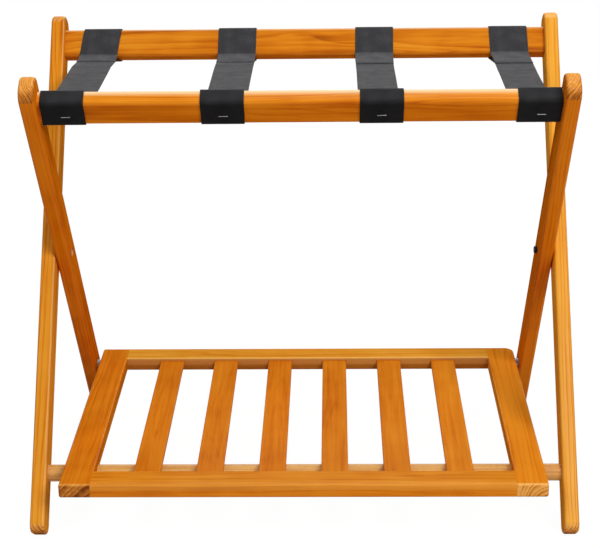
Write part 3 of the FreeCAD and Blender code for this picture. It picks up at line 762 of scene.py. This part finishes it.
def wrap_corners(place, cut_from_pivot):
    """Corners and radii of the line round one rail, from the lower seam to the cut end."""
    sign = -1.0 if place == "front" else 1.0
    low = RAIL_BOTTOMS[place]
    off = OFF_WOOD + TAPE / 2.0
    radius = RAIL_EDGE + off
    wall = RAIL_THICKNESS / 2.0 + off
    inset = RAIL_THICKNESS / 2.0 - RAIL_EDGE
    top = low + RAIL_HEIGHT + off
    seam = PIVOT[0] + sign * (cut_from_pivot + SEAM_BEFORE_CUT)
    cut = PIVOT[0] + sign * cut_from_pivot
    upper_level = SPAN_LEVEL + (TAPE + LAYER_GAP)
    lower = to_rail(place, (seam, SPAN_LEVEL))
    outer_low = tangent_meets(lower, np.array([-inset, low + RAIL_EDGE]), radius, -wall)
    crease = (wall, low - CREASE_BELOW)
    corners = [(seam, SPAN_LEVEL)]
    corners += [from_rail(place, p) for p in (outer_low, (-wall, top), (wall, top), crease)]
    corners += [(seam, upper_level), (cut, upper_level)]
    return corners, [DIP_RADIUS, radius, radius, radius, CREASE_RADIUS, SETTLE_RADIUS]


def strap_line(rear_cut):
    """The whole line of a strap, from the front cut end to the rear one, in mm."""
    front, front_radii = wrap_corners("front", FRONT_CUT)
    rear, rear_radii = wrap_corners("rear", rear_cut)
    return rounded_path(front[::-1] + rear, front_radii[::-1] + rear_radii, LINE_STEP)


def along(line):
    """Distance from the line's start and direction of travel, at each of its points."""
    steps = np.linalg.norm(np.diff(line, axis=0), axis=1)
    distance = np.concatenate([[0.0], np.cumsum(steps)])
    heading = np.gradient(line, distance, axis=0)
    return distance, heading / np.linalg.norm(heading, axis=1)[:, None]


lines = [strap_line(rear_cut) for _, _, rear_cut in STRAPS]
print("cut lengths of the straps, mm:", [round(along(line)[0][-1], 1) for line in lines])

# %% [markdown]
# ## A band as a grid
#
# The webbing's section is a flat rectangle with soft woven edges.  Carried along a line it
# becomes a grid: one direction runs round the section, the other along the strap.  The same
# grid of quads, closed round its section and capped at both ends, later serves the thread
# and the staples.  The grid's own millimetres are kept as a UV map, so that the weave
# follows the cloth round every corner.

# %% Grids and meshes


def tape_section(columns=28, edge_columns=3):
    """Across and up for the closed section: the top from left to right, then the bottom back."""
    half = TAPE_WIDTH / 2.0
    bulge = TAPE / 2.0
    turn = np.linspace(math.pi, QUARTER, edge_columns + 1)[:-1]
    left = np.stack([-half + bulge + np.cos(turn) * bulge, np.sin(turn) * bulge], 1)
    flat = np.stack([np.linspace(-half + bulge, half - bulge, columns), np.full(columns, bulge)], 1)
    right = left[::-1] * (-1.0, 1.0)
    upper = np.concatenate([left, flat, right])
    return np.concatenate([upper, upper[::-1] * (1.0, -1.0)])


def grid_faces(rows, around):
    """Quads of a grid that is closed round its section, plus two caps of quads."""
    i, j = np.meshgrid(np.arange(rows - 1), np.arange(around), indexing="ij")
    k = (j + 1) % around
    walls = np.stack([i * around + j, i * around + k, (i + 1) * around + k, (i + 1) * around + j], -1)
    m = np.arange(around // 2 - 1)
    cap = np.stack([m, around - 1 - m, around - 2 - m, m + 1], -1)
    return np.concatenate([walls.reshape(-1, 4), cap, (cap + (rows - 1) * around)[:, ::-1]])


def repeated(faces, copies, points_each):
    """The faces of one copy, numbered on for every further copy."""
    starts = np.arange(copies) * points_each
    return (faces[None] + starts[:, None, None]).reshape(-1, faces.shape[1])


def put_mesh(name, points_mm, faces, material, uv_mm=None):
    """A new smooth object at the origin from points in mm, with an optional UV map in metres."""
    mesh = bpy.data.meshes.new(name)
    mesh.from_pydata((points_mm.reshape(-1, 3) * TO_METRES).tolist(), [], faces.tolist())
    if uv_mm is not None:
        corner = np.empty(len(mesh.loops), np.int64)
        mesh.loops.foreach_get("vertex_index", corner)
        layer = mesh.uv_layers.new(name="cloth")
        layer.data.foreach_set("uv", (uv_mm.reshape(-1, 2)[corner] * TO_METRES).ravel())
    mesh.polygons.foreach_set("use_smooth", np.ones(len(mesh.polygons), bool))
    mesh.materials.append(material)
    mesh.update()
    made = bpy.data.objects.new(name, mesh)
    scene.collection.objects.link(made)
    return made


print("points round the webbing's section:", len(tape_section()))

# %% [markdown]
# ## Woven nylon webbing
#
# Heavy webbing is woven so tight that its lengthwise threads hide the crosswise ones.  Each
# thread floats over two crosswise threads and then dives, and its neighbour does so half a
# step later, which gives rows of small oval bumps.  Real threads are about 1.2 mm apart.
# The cloth is dyed black, and its slightly glossy fibres go grey where light grazes them.
# A painted sheen and shade is kept on the mesh, as a number at each point.

# %% Webbing material
THREAD_APART = 1.25          # mm across the strap from thread to thread
FLOAT_LENGTH = 2.9           # mm along the strap from float to float
FLOAT_BOW = (0.24, 0.76)     # height along a float: times its cosine, plus this
WEBBING_TONES = [(0.0, "#232324"), (0.5, "#3B3B3D"), (1.0, "#5A5A5D")]
WEBBING_NOISE = [
    # cells per mm, detail, roughness
    (1.6, 3.0, 0.5),         # fuzz of single fibres
    (0.06, 2.0, 0.5),        # wear, in patches as wide as a finger
    (0.8, 3.0, 0.6),         # mottle
]
WEAVE_TONE = 0.25            # what the crowns of the threads add to the tone
FUZZ_TONE = 0.45
MOTTLE_TONE = (1.1, -0.55)   # times the noise, plus this
WEAR_TONE = (0.5, -0.15)
WEBBING_ROUGH = (0.72, 0.5)  # of the darkest tone and of the palest
FUZZ_HEIGHT = 0.25           # against the weave's
WEAVE_HEIGHT = 0.00022       # m


def weave(tree, cloth):
    """Height: |sin| across each thread times a float along it, half a step on for odd ones."""
    parts = add(tree, "ShaderNodeSeparateXYZ", (cloth,)).outputs
    thread = add(tree, "ShaderNodeMath", (parts["X"], THREAD_APART), operation="DIVIDE")
    odd = add(tree, "ShaderNodeMath", (thread,), operation="FLOOR")
    odd = add(tree, "ShaderNodeMath", (odd, 0.5), operation="MULTIPLY")
    odd = add(tree, "ShaderNodeMath", (odd,), operation="FRACT")
    crown = add(tree, "ShaderNodeMath", (thread, math.pi), operation="MULTIPLY")
    crown = add(tree, "ShaderNodeMath", (crown,), operation="SINE")
    crown = add(tree, "ShaderNodeMath", (crown,), operation="ABSOLUTE")
    floats = add(tree, "ShaderNodeMath", (parts["Y"], FLOAT_LENGTH), operation="DIVIDE")
    floats = add(tree, "ShaderNodeMath", (floats, odd), operation="ADD")
    floats = add(tree, "ShaderNodeMath", (floats, 2 * math.pi), operation="MULTIPLY")
    floats = add(tree, "ShaderNodeMath", (floats,), operation="COSINE")
    floats = add(tree, "ShaderNodeMath", (floats, *FLOAT_BOW), operation="MULTIPLY_ADD")
    return add(tree, "ShaderNodeMath", (crown, floats), operation="MULTIPLY")


def webbing():
    """Black nylon: a ramp over weave, fuzz, mottle and wear, times the painted sheen and shade on the
    mesh.
    """
    material, tree, shader = new_material("woven_nylon_webbing_black", {
        "IOR": 1.5, "Specular IOR Level": 0.02, "Sheen Weight": 0.08, "Sheen Roughness": 0.35})
    cloth = add(tree, "ShaderNodeUVMap", uv_map="cloth")
    cloth = add(tree, "ShaderNodeVectorMath", (cloth, (TO_MM, TO_MM, 0.0)), operation="MULTIPLY")
    bumps = weave(tree, cloth)
    fuzz, wear, mottle = (add(tree, "ShaderNodeTexNoise", {
        "Vector": cloth, "Scale": scale, "Detail": detail, "Roughness": roughness})
        for scale, detail, roughness in WEBBING_NOISE)
    tone = add(tree, "ShaderNodeMath", (bumps, WEAVE_TONE), operation="MULTIPLY")
    tone = add(tree, "ShaderNodeMath", (fuzz, FUZZ_TONE, tone), operation="MULTIPLY_ADD")
    mottle = add(tree, "ShaderNodeMath", (mottle, *MOTTLE_TONE), operation="MULTIPLY_ADD")
    tone = add(tree, "ShaderNodeMath", (tone, mottle), operation="ADD")
    wear = add(tree, "ShaderNodeMath", (wear, *WEAR_TONE), operation="MULTIPLY_ADD")
    tone = add(tree, "ShaderNodeMath", (tone, wear), operation="ADD", use_clamp=True)
    black = add(tree, "ShaderNodeValToRGB", (tone,), stops=WEBBING_TONES)
    # The painted sheen and shade on the mesh scales the colour.
    shade = add(tree, "ShaderNodeAttribute", attribute_name="shade").outputs["Fac"]
    colour = add(tree, "ShaderNodeVectorMath", {0: black, "Scale": shade}, operation="SCALE")
    rough = add(tree, "ShaderNodeMapRange", (tone, 0.0, 1.0, *WEBBING_ROUGH))
    height = add(tree, "ShaderNodeMath", (fuzz, FUZZ_HEIGHT, bumps), operation="MULTIPLY_ADD")
    bump = add(tree, "ShaderNodeBump", {"Height": height, "Strength": 0.8,
                                        "Distance": WEAVE_HEIGHT})
    fill(tree, shader, {"Base Color": colour, "Roughness": rough, "Normal": bump})
    return material


WEBBING = webbing()
print("webbing:", WEBBING.name, "with threads", THREAD_APART, "mm apart")

# %% [markdown]
# ## A band carried along the line
#
# Real webbing never lies quite flat, so a slow ripple lifts it by part of a millimetre, most
# on the free run, and its edges wave a little.  A painted sheen greys the run and the
# turned-back ends, most just in front of the rear rail, and painted shade keeps the wraps
# black, most at the front where they face down.

# %% Strap surface
REAR_WRAP = 1.1              # lightness of the rear wraps
FRONT_WRAP_SHADE = (0.24, 0.62)    # of the front ones, facing down and facing up: painted shade on those that face down
WRAP_FACING = (-0.5, 0.8)    # what counts as down and as up
RUN_SHEEN = 1.44                   # of the free run, paler as a painted sheen
TAIL_SHEEN = 2.25                  # of the turned-back ends, paler still as a painted sheen
SHEEN_ENDS_AT = 144.8            # mm from the pivot, where the painted sheen ends
SHEEN_FADE = 1.0               # mm over which it does
TAIL_SHEEN_FADE = 6.0              # mm from the run's grey to a turned-back end's
REAR_RUN_LIGHT = (60.0, 15.0, 0.26)        # mm from the pivot, mm to its full strength, painted light added
NARROW_RUN = (150.0, 40.0)   # mm from the pivot where the run's own width starts, mm it takes
SLOW_RIPPLE = (0.28, 41.0, 17.0)     # mm high, mm for a radian along and across
QUICK_RIPPLE = (0.10, 13.0, 21.0)
EDGE_WAVE = (0.12, 23.0)     # mm wide, mm for a radian
RIPPLED = 75.0               # mm from the middle of the strap
SEEDS_FROM = 40


def painted_sheen_and_shade(from_pivot, up):
    """Painted sheen and shade along the line: wraps, then run and ends, blended in steps."""
    distance = np.abs(from_pivot)
    wrapped = np.where(from_pivot > 0.0, REAR_WRAP, np.interp(up, WRAP_FACING, FRONT_WRAP_SHADE))
    sheen_share = np.clip((SHEEN_ENDS_AT - distance) / SHEEN_FADE, 0.0, 1.0)
    turned_back = np.clip((distance - FRONT_CUT) / TAIL_SHEEN_FADE, 0.0, 1.0)
    begins, fade, lighter = REAR_RUN_LIGHT
    grey = RUN_SHEEN + (TAIL_SHEEN - RUN_SHEEN) * turned_back
    grey = grey + lighter * np.clip((from_pivot - begins) / fade, 0.0, 1.0) * (1.0 - turned_back)
    return wrapped + (grey - wrapped) * sheen_share


def ripples(s, across, phases):
    """Lift and sideways wave in mm: sines of the way along and across, with random phases."""
    p1, p2, p3 = phases
    high, long_radian, wide_radian = SLOW_RIPPLE
    lift = high * np.sin(s / long_radian + p1) * np.cos(across / wide_radian + p2)
    high, long_radian, wide_radian = QUICK_RIPPLE
    lift = lift + high * np.sin(s / long_radian + across / wide_radian + p3)
    high, long_radian = EDGE_WAVE
    wave = high * np.sin(s / long_radian + p2 + np.sign(across))
    return lift, wave * (np.abs(across) / (TAPE_WIDTH / 2.0 + 0.5)) ** 6


def strap_surface(name, middles, run_width, line, seed):
    """The section carried along the line: point + across * X + up * the line's normal."""
    section = tape_section()
    length, heading = along(line)
    normal = np.stack([-heading[:, 1], heading[:, 0]], 1)
    from_pivot = line[:, 0] - PIVOT[0]
    centre = np.interp(from_pivot, STATIONS, middles)
    starts, takes = NARROW_RUN
    narrow = np.clip((starts - np.abs(from_pivot)) / takes, 0.0, 1.0)
    width = 1.0 + (run_width - 1.0) * narrow
    phases = np.random.default_rng(seed).uniform(0, 2 * math.pi, 3)
    free = np.exp(-((length - length[-1] / 2.0) / RIPPLED) ** 4)
    across = section[:, 0][None, :]
    s = length[:, None]
    ripple, edge = ripples(s, across, phases)
    lift = section[:, 1][None, :] + ripple * free[:, None]
    x = centre[:, None] + across * width[:, None] + edge
    y = line[:, 0][:, None] + normal[:, 0][:, None] * lift
    z = line[:, 1][:, None] + normal[:, 1][:, None] * lift
    uv = np.stack(np.broadcast_arrays(across + TAPE_WIDTH / 2.0, s), -1)
    made = put_mesh(name, np.stack([x, y, z], -1), grid_faces(len(line), len(section)), WEBBING, uv)
    # Painted sheen and shade, kept at each point for the webbing's colour.
    shade = made.data.attributes.new("shade", "FLOAT", "POINT")
    shade.data.foreach_set("value", np.repeat(painted_sheen_and_shade(from_pivot, -normal[:, 1]), len(section)))
    return made


straps = [strap_surface("strap_%d" % number, middles, run_width, line, SEEDS_FROM + number)
          for number, ((middles, run_width, _), line) in enumerate(zip(STRAPS, lines), 1)]
print("straps:", [(strap.name, len(strap.data.polygons)) for strap in straps])

# %% [markdown]
# ## Sewn ends
#
# Each turned-back end is held by a row of stitches in thick thread across the strap.  A
# stitch is a short bridge of thread: it comes out of one hole, lies on the cloth and goes
# into the next.  All stitches of a strap are one grid: many copies of a bent tube, computed
# at once.  Twisted polyester shows as fine diagonal stripes in two blacks, softly glossy.

# %% Stitches
STITCH_PITCH = 3.2
STITCH_HALF = 0.40           # half a stitch's length, against the pitch
STITCH_BOW = (0.55, -0.30)   # mm that a stitch rises, and where its ends are
END_LEAN = 0.6               # how far the tube's ends lean, against the thread
THREAD_RADIUS = 0.32
ROW_HALF = 23.0              # half the row's width
ROW_BESIDE_CUT = 2.6         # from the cut end, towards the rail
ROW_LEVEL = SPAN_LEVEL + TAPE * 1.5 + 0.1


def thread_material():
    """Twisted black polyester thread: a diagonal two-tone twist with a soft gloss."""
    material, tree, shader = new_material("twisted_polyester_thread",
                                          {"IOR": 1.5, "Sheen Weight": 0.3})
    where = add(tree, "ShaderNodeTexCoord").outputs["Object"]
    place = add(tree, "ShaderNodeMapping", {"Vector": where, "Scale": (TO_MM,) * 3,
                                            "Rotation": (0.0, 0.0, 0.7)})
    twist = add(tree, "ShaderNodeTexWave", {"Vector": place, "Scale": 1.1,
                                            "Distortion": 0.6}).outputs["Fac"]
    colour = add(tree, "ShaderNodeValToRGB", (twist,), stops=[(0.2, "#0F0F10"), (0.8, "#2E2E31")])
    rough = add(tree, "ShaderNodeMapRange", (twist, 0.0, 1.0, 0.6, 0.45))
    fill(tree, shader, {"Base Color": colour, "Roughness": rough})
    return material


def stitch_rows(name, rows, sides=6, steps=6):
    """Tubes along X: a half wave of height over each pitch, a circle carried along it.

    Each row is the X and Y of its middle."""
    apart = np.arange(-ROW_HALF + STITCH_PITCH / 2.0, ROW_HALF, STITCH_PITCH)
    rows = np.array(rows)
    middle_x = (rows[:, :1] + apart).reshape(-1, 1, 1)
    middle_y = np.repeat(rows[:, 1], len(apart)).reshape(-1, 1, 1)
    t = np.linspace(-1.0, 1.0, steps)[:, None]
    angle = np.linspace(0, 2 * math.pi, sides, endpoint=False)
    rise, ends = STITCH_BOW
    bow = np.cos(t * QUARTER) * rise + ends
    lean = np.sin(t * QUARTER) * np.cos(angle) * THREAD_RADIUS * END_LEAN
    x = middle_x + t * STITCH_PITCH * STITCH_HALF + lean
    y = middle_y + np.sin(angle) * THREAD_RADIUS
    z = ROW_LEVEL + (bow + np.cos(angle) * THREAD_RADIUS)
    points = np.stack(np.broadcast_arrays(x, y, z), -1)
    faces = repeated(grid_faces(steps, sides), len(points), steps * sides)
    return put_mesh(name, points, faces, THREAD)


THREAD = thread_material()
stitches = []
for number, (middles, _, rear_cut) in enumerate(STRAPS, 1):
    rows = [(np.interp(sign * cut, STATIONS, middles), PIVOT[0] + sign * (cut + ROW_BESIDE_CUT))
            for sign, cut in ((-1.0, FRONT_CUT), (1.0, rear_cut))]
    stitches.append(stitch_rows("strap_%d_stitches" % number, rows))
print("stitches:", [len(made.data.polygons) for made in stitches])

# %% [markdown]
# ## Staples
#
# One wire staple holds each wrap to the outer face of its rail, half way up.  A staple is a
# dull galvanised wire bent twice: its crown lies on the webbing and its legs go through it
# into the wood.  Its line is again straight runs with small arcs, and a circle is carried
# along it.  A staple gun is never quite level, so each one is turned by a degree or two.

# %% Staples
STAPLE_WIRE = 0.42           # radius in mm
STAPLE_SIDES = 10
STAPLE_CROWN = 11.0
STAPLE_LEG = 8.5
STAPLE_BEND = 0.9            # radius of its two bends
STAPLE_STEP = 2.0
STAPLE_UP = 16.4             # above the rail's lower edge
STAPLE_SUNK = 0.8            # the wire's middle above the webbing, against its radius
STAPLES = {
    # X of each staple in mm, and its turn in radians
    "front": [(-267.5, 0.03), (-87.4, 0.0), (93.7, 0.05), (274.8, -0.02)],
    "rear": [(-269.0, 0.02), (-88.5, -0.03), (92.0, 0.0), (271.0, 0.03)],
}


def staple_wire(place, x, tilt):
    """A circle carried along a bent wire in the rail's outer face, tilted by an angle."""
    face = RAIL_THICKNESS / 2.0 + OFF_WOOD + TAPE + STAPLE_WIRE * STAPLE_SUNK
    half = STAPLE_CROWN / 2.0 - STAPLE_WIRE
    corners = [(-half, face - STAPLE_LEG), (-half, face), (half, face), (half, face - STAPLE_LEG)]
    wire = rounded_path(corners, [STAPLE_BEND, STAPLE_BEND], STAPLE_STEP)
    heading = along(wire)[1]
    angle = np.linspace(0, 2 * math.pi, STAPLE_SIDES, endpoint=False)
    across = wire[:, 0, None] - heading[:, 1, None] * np.cos(angle) * STAPLE_WIRE
    out = wire[:, 1, None] + heading[:, 0, None] * np.cos(angle) * STAPLE_WIRE
    up = np.broadcast_to(np.sin(angle) * STAPLE_WIRE, across.shape)
    sideways, height = swung(across, up, tilt)
    y_and_z = from_rail(place, (-out, height + RAIL_BOTTOMS[place] + STAPLE_UP))
    return np.concatenate([(x + sideways)[..., None], y_and_z], -1)


def staples(place):
    """All staples of one rail as one mesh; the rear ones are mirrored, so their faces turn."""
    wires = np.array([staple_wire(place, x, tilt) for x, tilt in STAPLES[place]])
    count, rows = wires.shape[:2]
    quads = grid_faces(rows, STAPLE_SIDES)
    quads = quads if place == "front" else quads[:, ::-1]
    faces = repeated(quads, count, rows * STAPLE_SIDES)
    return put_mesh("wire_staples_" + place, wires, faces, DULL_ZINC)


front_staples = staples("front")
rear_staples = staples("rear")
print("staples:", len(front_staples.data.polygons), len(rear_staples.data.polygons))

# %% [markdown]
# ## What moves with what
#
# The rack folds: the inner frame turns against the outer one about the pivot.  The staples
# ride on their frames: each rail's staples are tied to the body that carries that rail.  The
# new straps and their stitches are fixed where they were made, and the solid straps that they
# replace are hidden.

# %% Riding, and hiding the solid straps
for number, (strap, thread, line) in enumerate(zip(straps, stitches, lines), 1):
    for piece in (strap, thread):
        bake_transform(piece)
    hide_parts("strap_%d_front_loop" % number, "strap_%d_rear_loop" % number,
                "strap_%d_span" % number)
for piece, body, place in ((front_staples, "inner_frame", "front"),
                           (rear_staples, "outer_frame", "rear")):
    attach(piece, body)
    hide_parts(place + "_staples")
print("pieces tied to the frames")

# %% [markdown]
# ## Floor and room
#
# A rack in a catalogue stands on a pale floor in soft light from above.  The floor is matt
# paint, pale for every ray, and the camera sees most of it as paper white, so that only a
# faint shadow stays under the feet.  The world is soft white light too, and shows as white
# to the camera and in reflections.

# %% Floor and world
WHITE = (1.0, 1.0, 1.0, 1.0)
FLOOR_HALF = 9               # m
PAPER = 1.06                 # strength of the floor's white
PAPER_SHARE = 0.92           # of it in what is seen; the rest is paint, with the shadow
WORLD_LIGHT = 0.24           # strength of the world on the rack


def seen_directly(tree):
    """1 for rays from the camera and in gloss or glass, 0 for light that falls on things."""
    path = add(tree, "ShaderNodeLightPath").outputs
    seen = path["Is Camera Ray"]
    for ray in ("Is Glossy Ray", "Is Transmission Ray"):
        seen = add(tree, "ShaderNodeMath", (seen, path[ray]), operation="MAXIMUM")
    return seen


floor_mesh = bpy.data.meshes.new("pale_floor")
floor_mesh.from_pydata([(-FLOOR_HALF, -FLOOR_HALF, 0), (FLOOR_HALF, -FLOOR_HALF, 0),
                        (FLOOR_HALF, FLOOR_HALF, 0), (-FLOOR_HALF, FLOOR_HALF, 0)],
                       [], [(0, 1, 2, 3)])
floor = bpy.data.objects.new("pale_floor", floor_mesh)
scene.collection.objects.link(floor)
floor_paint, tree, shader = new_material("pale_painted_floor", {
    "Base Color": linear("#C6C6C4"), "Roughness": 0.9})
paper = add(tree, "ShaderNodeEmission", {"Color": WHITE, "Strength": PAPER})
share = add(tree, "ShaderNodeMath", (seen_directly(tree), PAPER_SHARE), operation="MULTIPLY")
mixed = add(tree, "ShaderNodeMixShader", (share, shader, paper))
fill(tree, tree.nodes["Material Output"], {"Surface": mixed})
floor_mesh.materials.append(floor_paint)

world = bpy.data.worlds.new("soft_white_room")
scene.world = world
world.use_nodes = True
tree = world.node_tree
level = add(tree, "ShaderNodeMapRange", (seen_directly(tree), 0.0, 1.0, WORLD_LIGHT, 1.0))
fill(tree, tree.nodes["Background"], {"Color": WHITE, "Strength": level})
print("floor and world ready:", floor.name, world.name)

# %% [markdown]
# ## Lamps
#
# Four square lamps give the wood its shape: bright where it faces up, darker where it faces
# down.  The key stands high to the front right and does most of the work.  One hangs
# overhead, a weak one to the left opens the shadows, and one behind draws a light rim.

# %% Lamps


def place_by_axes(made, right, up, back, spot):
    """Puts an object at a spot, its three axes as the columns of its matrix."""
    scene.collection.objects.link(made)
    rows = [(right[i], up[i], back[i], spot[i]) for i in range(3)]
    made.matrix_world = Matrix(rows + [(0, 0, 0, 1)])


def lamp(name, place, aim, size, watts):
    """A square area lamp at a place, turned to face an aim."""
    data = bpy.data.lights.new(name, "AREA")
    data.size = size
    data.energy = watts
    back = np.array(place, float) - np.array(aim, float)
    back /= np.linalg.norm(back)
    side = np.cross((0.0, 1.0, 0.0) if abs(back[2]) > 0.95 else (0.0, 0.0, 1.0), back)
    side /= np.linalg.norm(side)
    place_by_axes(bpy.data.objects.new(name, data), side, np.cross(back, side), back, place)


LAMPS = [
    # name, place and aim in metres, size in metres, watts
    ("overhead_softbox", (0.3, 0.3, 4.0), (0.0, 0.0, 0.3), 1.4, 48.0),
    ("rim_softbox", (0.0, 2.6, 1.9), (0.0, 0.0, 0.5), 1.0, 16.0),
    ("key_softbox", (1.45, -2.55, 2.35), (0.0, 0.0, 0.25), 1.3, 74.0),
    ("left_softbox", (-2.1, -2.0, 2.3), (0.0, 0.0, 0.25), 1.1, 16.0),
]
for row in LAMPS:
    lamp(*row)
print("lamps:", [light.name for light in bpy.data.lights])

# %% [markdown]
# ## The camera
#
# The camera stands about two metres in front, a little above the straps, and looks down by
# twenty degrees with a long lens.  Its three axes are written out, so nothing has to be aimed.

# %% Camera
camera_data = bpy.data.cameras.new("front_camera")
camera_data.lens = 97.65
camera_data.sensor_width = 36.0
camera = bpy.data.objects.new("front_camera", camera_data)
right = (0.99977158, 0.01806282, -0.01142424)
up = (0.00454404, 0.34266359, 0.93944719)
back = (0.02088373, -0.93928451, 0.34250324)
spot = (0.03833, -1.96325, 0.98906)
place_by_axes(camera, right, up, back, spot)
scene.camera = camera
scene.view_settings.view_transform = "Standard"
print("camera at", spot)
